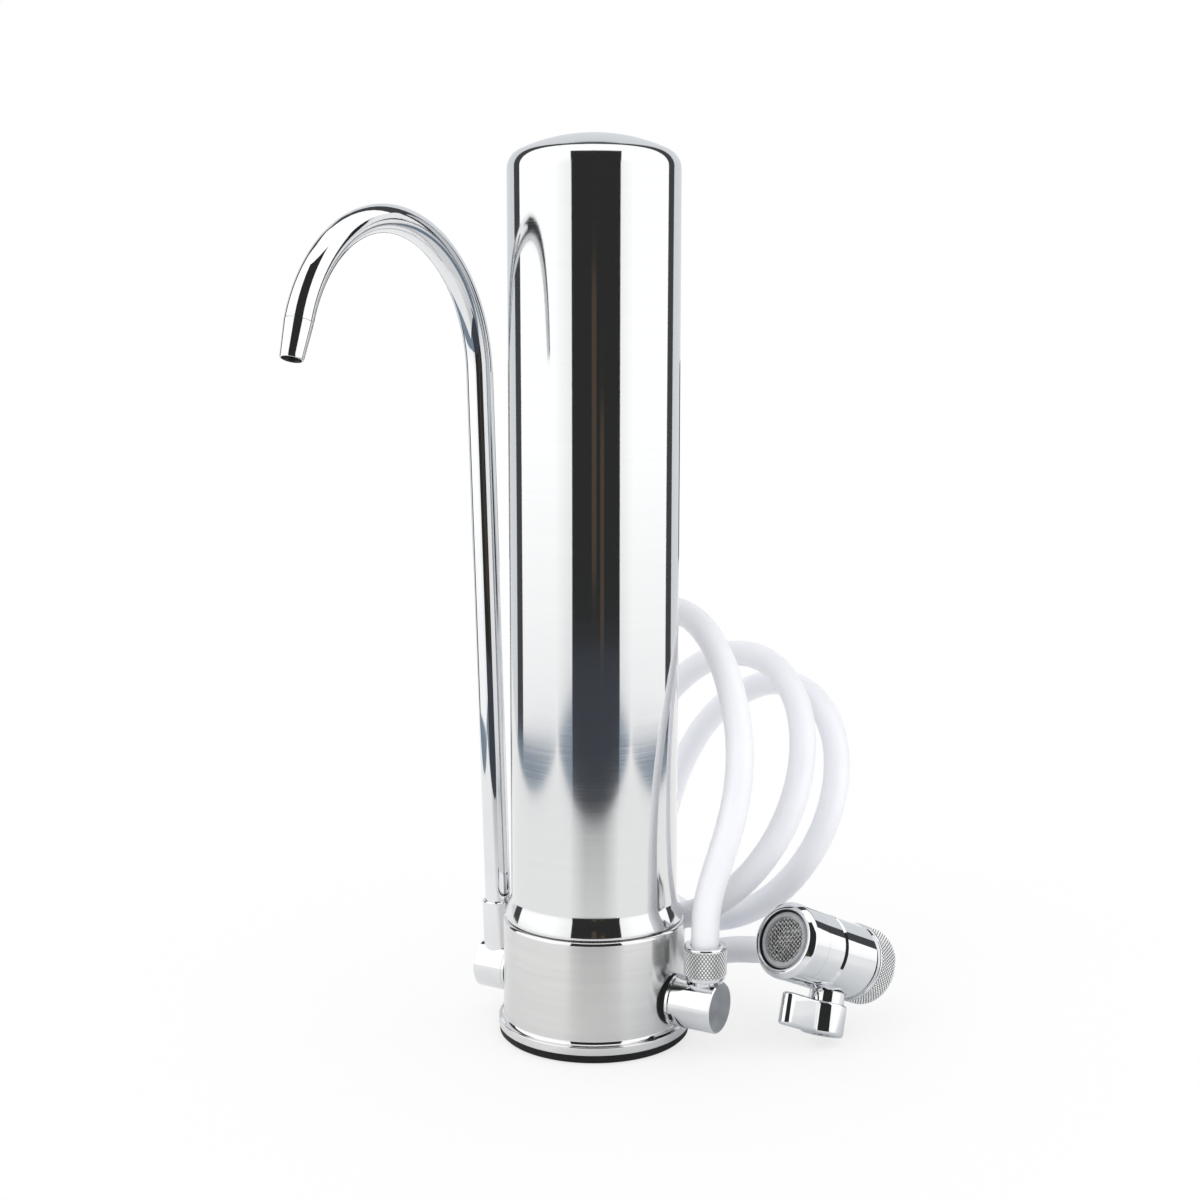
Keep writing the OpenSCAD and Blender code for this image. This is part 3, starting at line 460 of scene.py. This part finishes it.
def can_outline(inset):
    """Outline from the lip to the top of the crown, moved in by inset, with rows close to the flare's crease."""
    rise = math.sqrt((CROWN_R - SHOULDER_R) ** 2 - (CAN_R - SHOULDER_R) ** 2)
    turn = math.degrees(math.atan2(rise, CAN_R - SHOULDER_R))
    centre = (CAN_R - SHOULDER_R, CAN_H - CROWN_R + rise)
    wall, crease, slope = CAN_R - inset, LIP_H + FLARE_H, FLARE_OUT / FLARE_H
    flare = [(wall + slope * down, crease - down) for down in (FLARE_H, *reversed(CREASE_ROWS))]
    flare += [(wall, crease + up) for up in CREASE_ROWS]
    shoulder = arc(centre, SHOULDER_R - inset, 0, turn, ROUND_STEPS)
    return flare + shoulder + arc((0, CAN_H - CROWN_R), CROWN_R - inset, turn, 90, ROUND_STEPS)[1:]


inside = LIP_R - CAN_WALL
can_profile = [(inside, LIP_CUT), (inside + LIP_BEVEL, 0)]
can_profile += arc((LIP_R - LIP_ROUND, LIP_ROUND), LIP_ROUND, -90, 0, 4)
can_profile += can_outline(0) + can_outline(CAN_WALL)[::-1]
can_profile = [(max(r, 0), z) for r, z in can_profile]
can_shape = lathe(can_profile, Matrix.Translation((0, 0, LIP_Z)), SKIN_TURNS)
canister = add_mesh("canister_skin", *can_shape, "canister", "polished_steel", [polished])
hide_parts("canister")

# Base with a rolled top and a polished skirt
FOOT_ROUND, SKIRT_ROUND, SKIRT_SPARE, POLISH_UP = 0.3, 0.4, 3, 0.3
top_in, shell_in, skirt_in = CAN_R - CAN_WALL - NECK_GAP + RIM_GAP, BASE_R - BASE_WALL, SKIRT_R - BASE_WALL
wall_foot, under_top = SKIRT_TOP + SKIRT_CURVE, BASE_H - BASE_WALL
base_profile = arc((SKIRT_R - FOOT_ROUND, FOOT_H + FOOT_ROUND), FOOT_ROUND, -90, 0, 4)
base_profile += arc((SKIRT_R - SKIRT_ROUND, SKIRT_TOP - SKIRT_ROUND), SKIRT_ROUND, 0, 80, 4)
base_profile += hollow(BASE_R, SKIRT_TOP, SKIRT_R - BASE_R, SKIRT_CURVE)[SKIRT_SPARE:]
base_profile += arc((BASE_R - ROLL_R, BASE_H - ROLL_R), ROLL_R, 0, 90)
base_profile += [(top_in, BASE_H), (top_in, under_top), (shell_in, under_top), (shell_in, wall_foot)]
base_profile += [(skirt_in, SKIRT_TOP), (skirt_in, FOOT_H)]


def base_finish(c):
    """Satin on the wall, polished on the skirt and the rolled top."""
    return 0 if wall_foot + POLISH_UP <= c.z <= BASE_H - ROLL_R else 1


base_shape = lathe(base_profile, turns=SKIN_TURNS)
base_skin = add_mesh("base_skin", *base_shape, "base", "satin_steel", [satin, mirror], base_finish)
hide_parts("base_shell")

# Spout tip with a thin lip round its mouth
TIP_SEAM, TIP_INSET, TIP_SPREAD, BORE_START = 0.3, 0.02, 0.1, 2
TIP_ROWS = (0.7, 1.2, TIP_L - 1, TIP_L - 0.3)
MOUTH_SHARE, MOUTH_EDGE = 0.8, 0.1
bend_end = Vector((0, -GOOSE_R * (1 - cosd(GOOSE_SWEEP)), BEND_Z + GOOSE_R * sind(GOOSE_SWEEP)))
on_spout = Matrix.Translation((-OUTLET_X, 0, PORT_Z)) @ turned(-SPOUT_LEAN, "Y")
on_tip = on_spout @ Matrix.Translation(bend_end) @ turned(GOOSE_SWEEP, "X")
from_tip = on_tip.inverted()
mouth_r, mouth_floor = TIP_R - MOUTH_WALL, TIP_L - MOUTH_DEEP
tip_profile = [(SPOUT_R - SPOUT_WALL, 0), (SPOUT_R - TIP_SEAM, 0), (SPOUT_R - TIP_INSET, TIP_SEAM)]
tip_profile += [(SPOUT_R + (TIP_R + TIP_SPREAD - SPOUT_R) * z / TIP_L, z) for z in TIP_ROWS]
tip_profile += [(TIP_R, TIP_L), (mouth_r, TIP_L), (mouth_r, mouth_floor), (TIP_BORE, mouth_floor)]
tip_profile += [(TIP_BORE, BORE_START)]


def tip_finish(c):
    """Chrome outside and a darker bore, with painted shade."""
    p = from_tip @ c
    bore = math.hypot(p.x, p.y) < TIP_R - MOUTH_SHARE * MOUTH_WALL
    return 1 if bore and 0 < p.z < TIP_L - MOUTH_EDGE else 0


tip_shape = lathe(tip_profile, on_tip, SMALL_TURNS)
tip = add_mesh("spout_tip_turned", *tip_shape, "spout", "chrome", [chrome, bore_shade_steel], tip_finish)
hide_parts("spout_tip")

# Knurled nuts: the diamonds round, their height and their depth
HOSE_KNURL, SWIVEL_KNURL = (38, 0.86, 0.36), (74, 0.82, 0.34)
KNURL_SHARP, GROOVE_DEEP, KNURL_IN, KNURL_GAP = 20, 0.6, 0.3, 0.1
# Plain chrome, the diamonds with painted highlight, the grooves with painted shade
KNURL_FINISHES = [chrome, knurled, groove_shade_chrome]
NUT_FOOT_H, NUT_FOOT_IN, NUT_FOOT_ROUND, NUT_FOOT_RISE = 1.9, 0.6, 0.4, 0.45
NUT_CROWN_H, NUT_CROWN_IN, NUT_CROWN_ROUND, NUT_CROWN_RISE = 1.3, 0.25, 0.7, 0.3
HOSE_GAP, HOSE_BEVEL = 0.2, 0.3
RING_FRONT_H, RING_FRONT_IN, RING_FRONT_ROUND, RING_FRONT_STEP = 1.1, 0.1, 0.6, 0.15
RING_BACK_H, RING_BACK_IN, RING_BACK_ROUND, RING_BACK_GAP = 1.3, 0.3, 0.9, 0.2
TAP_BEVEL_OUT, TAP_BEVEL_IN, TAP_BEVEL_DEEP, TAP_UNDERCUT = 0.9, 0.3, 0.5, 0.5
THREAD_OUT, THREAD_STEP, THREAD_DEEP, THREAD_LEAD = 0.15, 0.12, 0.3, 0.6


def knurl_finish(place, radius, depth, low, high):
    """Picks the second finish, with its painted highlight, for the diamonds of a knurl and the third, with its painted
    shade, for its grooves.
    """
    back = place.inverted()

    def choose(c):
        p = back @ c
        r = math.hypot(p.x, p.y)
        if not (low < p.z < high and radius - depth < r):
            return 0
        return 1 if r > radius - GROOVE_DEEP * depth else 2
    return choose


def knurl_rows(radius, low, high, step):
    count = round((high - low) / step)
    return [(radius, low + (high - low) * i / count) for i in range(count + 1)]


def hose_nut(name, place, bottom, body):
    """A hose's nut, knurled between a plain foot and a rounded crown."""
    round_, step, depth = HOSE_KNURL
    top = bottom + NUT_H
    bore, lip, flange = NUT_R - NUT_WALL + FIT_GAP, HOSE_D / 2 + HOSE_GAP, top - NUT_FLANGE
    low, high = bottom + NUT_FOOT_H, top - NUT_CROWN_H
    foot_r, crown_r = NUT_R - NUT_FOOT_IN, NUT_R - NUT_CROWN_IN
    foot = arc((foot_r - NUT_FOOT_ROUND, bottom + NUT_FOOT_ROUND), NUT_FOOT_ROUND, -90, 0, 4)
    foot += [(foot_r, low - NUT_FOOT_RISE), (NUT_R - KNURL_IN, low - KNURL_GAP)]
    band = knurl_rows(NUT_R, low, high, step)
    crown = [(NUT_R - KNURL_IN, high + KNURL_GAP), (crown_r, high + NUT_CROWN_RISE)]
    crown += arc((crown_r - NUT_CROWN_ROUND, top - NUT_CROWN_ROUND), NUT_CROWN_ROUND, 0, 90, 6)
    crown += [(lip + HOSE_BEVEL, top), (lip, top - HOSE_BEVEL), (lip, flange), (bore, flange), (bore, bottom)]
    knurl = range(len(foot), len(foot) + len(band))

    def relief(i, k):
        return -depth if i in knurl and (i + k) % 2 == 0 else 0

    shape = lathe(foot + band + crown, place, 2 * round_, True, relief, knurl)
    choose = knurl_finish(place, NUT_R, depth, low, high)
    nut = add_mesh(name + "_knurled", *shape, body, "chrome", KNURL_FINISHES, choose, KNURL_SHARP)
    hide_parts(name)
    return nut


hose_nut("inlet_hose_nut", on_inlet, BARREL_R + NUT_LIFT, "inlet_hose_nut")
port_nut = hose_nut("diverter_hose_nut", along_port, VALVE_R + NUT_LIFT, "diverter_hose_nut")


def zigzag(x):
    return 1 - abs(2 * (x % 1) - 1)


def swivel():
    """The ring nut, knurled outside, with its thread inside."""
    round_, step, depth = SWIVEL_KNURL
    end, flange = SWIVEL_X + SWIVEL_L, SWIVEL_X + SWIVEL_SHOULDER
    low, high = SWIVEL_X + RING_FRONT_H, end - RING_BACK_H
    neck, wide = TAP_R - SWIVEL_NECK + FIT_GAP, TAP_R + TAP_UNDERCUT
    front_r, back_r = SWIVEL_R - RING_FRONT_IN, SWIVEL_R - RING_BACK_IN
    thread_l = TAP_L - THREAD_LEAD
    steps = int(thread_l / THREAD_STEP)
    front = [(neck, SWIVEL_X)]
    front += arc((front_r - RING_FRONT_ROUND, SWIVEL_X + RING_FRONT_ROUND), RING_FRONT_ROUND, -90, 0, 5)
    front += [(SWIVEL_R - RING_FRONT_STEP, low - KNURL_GAP)]
    band = knurl_rows(SWIVEL_R, low, high, step)
    back = [(back_r, high + RING_BACK_GAP)]
    back += arc((back_r - RING_BACK_ROUND, end - RING_BACK_ROUND), RING_BACK_ROUND, 10, 90, 5)
    back += [(TAP_R + TAP_BEVEL_OUT, end), (TAP_R + TAP_BEVEL_IN, end - TAP_BEVEL_DEEP)]
    inner = [(TAP_R + THREAD_OUT, end - THREAD_LEAD - thread_l * i / steps) for i in range(steps + 1)]
    floor = [(wide, end - TAP_L), (wide, flange), (neck, flange)]
    knurl = range(len(front), len(front) + len(band))
    start = len(front) + len(band) + len(back)
    screw = {start + i: inner[i][1] for i in range(1, steps)}

    def relief(i, k):
        if i in screw:
            return THREAD_DEEP * zigzag(screw[i] + k / (2 * round_))
        return -depth if i in knurl and (i + k) % 2 == 0 else 0

    shape = lathe(front + band + back + inner + floor, along_valve, 2 * round_, True, relief, knurl)
    choose = knurl_finish(along_valve, SWIVEL_R, depth, low, high)
    return add_mesh("swivel_nut_knurled", *shape, "swivel_nut", "chrome", KNURL_FINISHES, choose, KNURL_SHARP)


swivel_ring = swivel()
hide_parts("swivel_nut")

# Aerator housing with a rounded lip
LIP_INNER, LIP_FACE, LIP_FACE_IN, LIP_OUTER, LIP_OUTER_UP, LIP_TURN = 0.4, 0.7, 2.1, 1.2, 0.35, -40
lip_low, lip_high, seat = AERATOR_FRONT, AERATOR_FRONT + SHOULDER_L, AERATOR_FRONT + AERATOR_DEEP
housing_end, spigot_r = VALVE_FRONT - FIT_GAP, AERATOR_IN - SPIGOT_IN
housing_profile = arc((AERATOR_IN + LIP_INNER, lip_low + LIP_INNER), LIP_INNER, 180, 270, 5)
housing_profile += arc((VALVE_R - LIP_FACE_IN, lip_low + LIP_FACE), LIP_FACE, -90, LIP_TURN, 6)
housing_profile += arc((VALVE_R - LIP_OUTER, lip_high + LIP_OUTER_UP), LIP_OUTER, LIP_TURN, 0, 6)
housing_profile += [(VALVE_R, housing_end), (spigot_r, housing_end), (spigot_r, seat), (AERATOR_IN, seat)]
housing_shape = lathe(housing_profile, along_valve, HOUSING_TURNS)
housing = add_mesh("aerator_barrel", *housing_shape, "base", "chrome", [chrome])
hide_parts("aerator_housing")

# Woven screen of the aerator
WEAVE_PITCH, WEAVE_TURN, WEAVE_DEEP, WEAVE_GAP = 1.25, 38, 1.75, 0.25
WIRE_D, WIRE_SIDES, WIRE_WAVE, WIRE_STEPS, LEAST_STEPS = 0.45, 6, 0.6, 6, 8
RIM_FRONT, RIM_BACK, RIM_STEP = AERATOR_FRONT + 1.42, AERATOR_FRONT + 2.15, AERATOR_FRONT + 1.9
RIM_OUT, RIM_IN, RIM_LIP = SCREEN_R - 0.1, SCREEN_R - 0.5, SCREEN_R - 0.35


def weave(radius, plane, place):
    """Wires of a plain weave that fill a disc, over and under each other."""
    parts = []
    count = int(radius / WEAVE_PITCH)
    for way in (0, 1):
        for i in range(-count, count + 1):
            across = i * WEAVE_PITCH
            half = math.sqrt(max(radius ** 2 - across ** 2, 0))
            if half < WEAVE_PITCH:
                continue
            steps = max(LEAST_STEPS, int(2 * half / WEAVE_PITCH * WIRE_STEPS))
            line = []
            for k in range(steps + 1):
                s = -half + 2 * half * k / steps
                z = plane + WIRE_D * WIRE_WAVE * math.cos(math.pi * s / WEAVE_PITCH + math.pi * (i + way))
                line.append(place @ Vector((s, across, z) if way == 0 else (across, s, z)))
            parts.append(tube(line, WIRE_D / 2, WIRE_SIDES))
    return joined(*parts)


wires = weave(SCREEN_R - WEAVE_GAP, AERATOR_FRONT + WEAVE_DEEP, along_valve @ turned(WEAVE_TURN, "Z"))
rim_profile = [(RIM_OUT, RIM_FRONT), (RIM_OUT, RIM_BACK), (RIM_IN, RIM_BACK), (RIM_IN, RIM_STEP), (RIM_LIP, RIM_FRONT)]
rim = lathe(rim_profile, along_valve, SMALL_TURNS)
screen = add_mesh("aerator_mesh", *joined(wires, rim), "base", "steel", [wire_steel])
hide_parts("aerator_screen")

# Lever: a round end and a bar, with rounded edges, and the collar and pin above them
LEVER_EDGE, EDGE_STEPS, ROUND_END_STEPS, BAR_END_STEPS = 1.2, 6, 64, 24
COLLAR_IN, COLLAR_BEVEL, HOLE_R, HOLE_DEEP, PIN_IN, PIN_SINK = 0.94, 0.4, 3.2, 2, 0.8, 0.3
PIN_PROFILE = [(0, 0.5), (0.9, 0.5), (1.1, 0.7)]
PIN_FOOT_R = 1.7


def key_outline(inset):
    """Outline of the lever seen from above, moved in by inset."""
    big, half = LEVER_R - inset, LEVER_BAR - inset
    corner = 180 - math.degrees(math.asin(half / big))
    out = arc((0, 0), big, -corner, corner, ROUND_END_STEPS)
    return out + arc((LEVER_BAR - LEVER_REACH, 0), half, 90, 270, BAR_END_STEPS)


def lever_shape():
    low, high = VALVE_R + LEVER_COLLAR, VALVE_R + LEVER_COLLAR + LEVER_H
    collar_top = VALVE_R - COLLAR_IN
    turns = [90 * k / EDGE_STEPS for k in range(EDGE_STEPS + 1)]
    rows = [(LEVER_EDGE * (1 - sind(a)), low + LEVER_EDGE * (1 - cosd(a))) for a in turns]
    rows += [(LEVER_EDGE * (1 - cosd(a)), high - LEVER_EDGE * (1 - sind(a))) for a in turns]
    sides = [[Vector((x, y, z)) for x, y in key_outline(inset)] for inset, z in rows]
    n = len(sides[0])

    def circle(r, z):
        return [Vector((*(r * Vector((p.x, p.y)).normalized()), z)) for p in sides[0]]

    rings = [circle(LEVER_COLLAR_R - COLLAR_BEVEL, collar_top), circle(LEVER_COLLAR_R, collar_top + COLLAR_BEVEL)]
    rings += [circle(LEVER_COLLAR_R, low)] + sides + [circle(HOLE_R, high), circle(HOLE_R, high - HOLE_DEEP)]
    points = [p for ring in rings for p in ring]
    faces = [list(range(n))[::-1], [(len(rings) - 1) * n + k for k in range(n)]]
    for i in range(len(rings) - 1):
        for k in range(n):
            m = (k + 1) % n
            faces.append([i * n + k, i * n + m, (i + 1) * n + m, (i + 1) * n + k])
    pin_profile = [(r, VALVE_R + z) for r, z in PIN_PROFILE] + [(PIN_FOOT_R, low + PIN_SINK), (0, low + PIN_SINK)]
    pin = lathe(pin_profile, Matrix.Translation((PIN_IN - LEVER_R, 0, 0)), PIN_TURNS, False)
    points, faces = joined((points, faces), pin)
    return [along_lever @ p for p in points], faces


lever = add_mesh("lever_grip", *lever_shape(), "lever", "chrome", [chrome], sharp=40)
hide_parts("diverter_lever")

# Studio cards, which only reflections show: angles in degrees about the camera's direction
STUDIO_AT = Vector((0, 0, 150))
RIM, HOOP, BACK, DRAWN_IN = 117, 132, 180, 4.5
SLOT_LEFT, SLOT_RIGHT, LOW, HUMP, HUMP_FALL = -14.5, 17, -13.6, -9, 0.085
GLOW_SIDE, GLOW_MIDDLE, GLOW_FROM, GLOW_TO, GLOW_FOOT, GLOW_LOW = 1.33, 1.12, 0.6, 0.87, 0.86, -0.2


def emitter(name, colour):
    m = bpy.data.materials.new(name)
    m.use_nodes = True
    tree = m.node_tree
    tree.nodes.clear()
    glow = node(tree, "ShaderNodeEmission", Color=(*colour, 1))
    node(tree, "ShaderNodeOutputMaterial", [("Surface", glow.outputs[0])])
    return m


def soft_white():
    """White that dims towards the middle of the front and towards the floor."""
    m = emitter("card_soft", (1, 1, 1))
    tree = m.node_tree
    where = node(tree, "ShaderNodeTexCoord").outputs["Object"]
    way = vectors(tree, "NORMALIZE", vectors(tree, "SUBTRACT", where, STUDIO_AT * MM))
    facing = vectors(tree, "DOT_PRODUCT", way, TO_CAMERA, result="Value")
    height = node(tree, "ShaderNodeSeparateXYZ", [("Vector", way)]).outputs["Z"]
    across = remap(tree, facing, GLOW_SIDE, GLOW_MIDDLE, GLOW_FROM, GLOW_TO)
    upwards = remap(tree, height, GLOW_FOOT, 1, GLOW_LOW, 0)
    level = maths(tree, "MULTIPLY", across, upwards)
    tree.links.new(level, tree.nodes["Emission"].inputs["Strength"])
    return m


def heading(around, rise):
    """Direction by its angle round from the camera, to the right, and its height."""
    return cosd(rise) * (cosd(around) * TO_CAMERA + sind(around) * TO_RIGHT) + sind(rise) * UP


def humped(around, rise):
    """As heading, and lower towards both sides."""
    return heading(around, rise - HUMP_FALL * abs(around))


def mirrored(around, rise):
    """Direction that a face mirrors to the camera, by the face's own heading."""
    face = heading(around, rise)
    return 2 * face.dot(TO_CAMERA) * face - TO_CAMERA


def hooped(off, round_):
    """Direction by its angle off the camera's and its turn about it, drawn in towards the sides and the foot."""
    share = off / RIM if off < RIM else min(1, (BACK - off) / (BACK - HOOP))
    off -= DRAWN_IN * share * (1 - sind(round_))
    return cosd(off) * TO_CAMERA + sind(off) * (cosd(round_) * TO_RIGHT + sind(round_) * UP)


def card(name, way, first, last, radius, finish, steps):
    """A curved card about the object, between two corners."""
    points, faces = [], []
    (a0, b0), (a1, b1) = first, last
    for i in range(steps + 1):
        for k in range(steps + 1):
            points.append(STUDIO_AT + radius * way(a0 + (a1 - a0) * i / steps, b0 + (b1 - b0) * k / steps))
    for i in range(steps):
        for k in range(steps):
            j = i * (steps + 1) + k
            faces.append([j, j + 1, j + steps + 2, j + steps + 1])
    c = add_mesh(name, points, faces, materials=[finish])
    c.visible_camera = c.visible_diffuse = c.visible_shadow = c.visible_transmission = False


dark = emitter("card_dark", (0.028, 0.029, 0.028))
hoop = emitter("card_hoop", (0.066, 0.068, 0.072))
pale = emitter("card_pale", (0.78, 0.805, 0.83))
low_dark = emitter("card_low", (0.055, 0.062, 0.075))
low_side = emitter("card_side", (0.22, 0.28, 0.35))
streak = emitter("card_streak", (0.085, 0.062, 0.047))

# Name, kind of direction, first and last corner, distance in millimetres, finish and steps
CARDS = [
    ("soft_front", hooped, (0, -20), (RIM, 200), 1500, soft_white(), 48),
    ("dark_hoop", hooped, (RIM, -30), (HOOP, 210), 1500, hoop, 48),
    ("pale_back", hooped, (HOOP, -30), (BACK, 210), 1500, pale, 48),
    ("dark_slot", mirrored, (SLOT_LEFT, LOW / 2), (SLOT_RIGHT, 36.5), 1440, dark, 24),
    ("dark_low", heading, (-131, -70), (133, LOW), 1400, low_side, 24),
    ("dark_hump", humped, (-50, -60), (50, HUMP), 1395, low_side, 24),
    ("dark_foot", heading, (2 * SLOT_LEFT, -70), (2 * SLOT_RIGHT, HUMP), 1390, low_dark, 24),
    ("dark_back", heading, (160, -70), (200, 3), 1440, dark, 24),
    ("streak_a", heading, (-3, -6), (3, 8.5), 1380, streak, 24),
    ("streak_b", heading, (8, -9), (13, 2), 1380, streak, 24),
]
for values in CARDS:
    card(*values)

# Floor: its drop in millimetres, its other measures in metres
FLOOR_FRONT, FLOOR_SIDE, FLOOR_BACK, FLOOR_DROP = 0.37, 0.42, 1.6, 0.3
FLOOR_COLOUR, WHITE_NEAR, WHITE_FROM, WHITE_TO = (0.93, 0.93, 0.93), 0.72, 0.12, 0.38
CLOSE_DIM, CLOSE_FROM, CLOSE_TO = 0.4, 0.1, 0.3
# Painted shade that only reflections see: the lane towards the camera
LANE, LANE_IN, LANE_OUT, LANE_REACH = 0.62, 0.2, 0.62, 0.001
# Painted cool shade that only reflections see, under the fittings
UNDER_FITTINGS, UNDER_FROM, UNDER_TO, COOL_SHADE = (0.082, 0.02, 0), 0.03, 0.11, (0.42, 0.46, 0.51)


def pale_floor():
    """A pale cover with the shadow on it, which turns to white further out, and painted shade that only reflections
    see.
    """
    m = bpy.data.materials.new("pale_floor")
    m.use_nodes = True
    tree = m.node_tree
    tree.nodes.clear()
    cover = node(tree, "ShaderNodeBsdfDiffuse", Color=(*FLOOR_COLOUR, 1))
    glow = node(tree, "ShaderNodeEmission")
    ray = node(tree, "ShaderNodeLightPath").outputs
    glossy = ray["Is Glossy Ray"]
    where = node(tree, "ShaderNodeTexCoord").outputs["Object"]

    # White for the camera and for reflections, less so close to the object
    seen = maths(tree, "MAXIMUM", ray["Is Camera Ray"], glossy)
    seen = maths(tree, "MAXIMUM", seen, ray["Is Transmission Ray"])
    far = vectors(tree, "LENGTH", where, result="Value")
    lit = maths(tree, "MULTIPLY", seen, remap(tree, far, WHITE_NEAR, 1, WHITE_FROM, WHITE_TO))
    shaded = maths(tree, "MULTIPLY", remap(tree, far, CLOSE_DIM, 0, CLOSE_FROM, CLOSE_TO), glossy)
    share = maths(tree, "SUBTRACT", lit, shaded)

    # A painted shade that only reflections see: a dimmer lane towards the camera
    aside = maths(tree, "ABSOLUTE", vectors(tree, "DOT_PRODUCT", where, TO_RIGHT, result="Value"))
    ahead = maths(tree, "MAXIMUM", vectors(tree, "DOT_PRODUCT", where, TO_CAMERA, result="Value"), LANE_REACH)
    lane = remap(tree, maths(tree, "DIVIDE", aside, ahead), LANE, 1, LANE_IN, LANE_OUT)
    dim = maths(tree, "MULTIPLY", maths(tree, "SUBTRACT", 1, lane), glossy)
    tree.links.new(maths(tree, "SUBTRACT", 1, dim), glow.inputs["Strength"])

    # A painted cool shade under the fittings, that only reflections see
    distance = vectors(tree, "DISTANCE", where, UNDER_FITTINGS, result="Value")
    under = maths(tree, "MULTIPLY", remap(tree, distance, 1, 0, UNDER_FROM, UNDER_TO), glossy)
    tree.links.new(tint(tree, under, (1, 1, 1), COOL_SHADE, 0, 1), glow.inputs["Color"])

    mix = node(tree, "ShaderNodeMixShader", [("Fac", share), (1, cover.outputs[0]), (2, glow.outputs[0])])
    node(tree, "ShaderNodeOutputMaterial", [("Surface", mix.outputs[0])])
    return m


corners = [(FLOOR_FRONT, -FLOOR_SIDE), (FLOOR_FRONT, FLOOR_SIDE), (-FLOOR_BACK, FLOOR_SIDE), (-FLOOR_BACK, -FLOOR_SIDE)]
floor_points = [(a * TO_CAMERA + b * TO_RIGHT) / MM - FLOOR_DROP * UP for a, b in corners]
floor = add_mesh("floor", floor_points, [[0, 1, 2, 3]], materials=[pale_floor()])

# Lamps and world
LAMP_SIZE, LAMPS_AIM = 0.9, Vector((0, 0, 0.15))
KEY_AT, KEY_WATTS = TO_CAMERA * 0.7 - TO_RIGHT * 0.9 + UP * 1.3, 3.0
FILL_AT, FILL_WATTS = TO_CAMERA * 0.5 + TO_RIGHT * 1.1 + UP * 0.8, 0.6


def lamp(name, at, watts):
    data = bpy.data.lights.new(name, "AREA")
    data.shape = "DISK"
    data.size = LAMP_SIZE
    data.energy = watts
    thing = bpy.data.objects.new(name, data)
    scene.collection.objects.link(thing)
    thing.location = at
    thing.rotation_mode = "QUATERNION"
    thing.rotation_quaternion = (LAMPS_AIM - thing.location).to_track_quat("-Z", "Y")
    thing.visible_glossy = False


lamp("key", KEY_AT, KEY_WATTS)
lamp("fill", FILL_AT, FILL_WATTS)

world = bpy.data.worlds.new("studio")
scene.world = world
world.use_nodes = True
tree = world.node_tree
tree.nodes.clear()
background = node(tree, "ShaderNodeBackground", Color=(1, 1, 1, 1), Strength=1)
node(tree, "ShaderNodeOutputWorld", [("Surface", background.outputs[0])])
bpy.context.scene.view_settings.view_transform = "Standard"
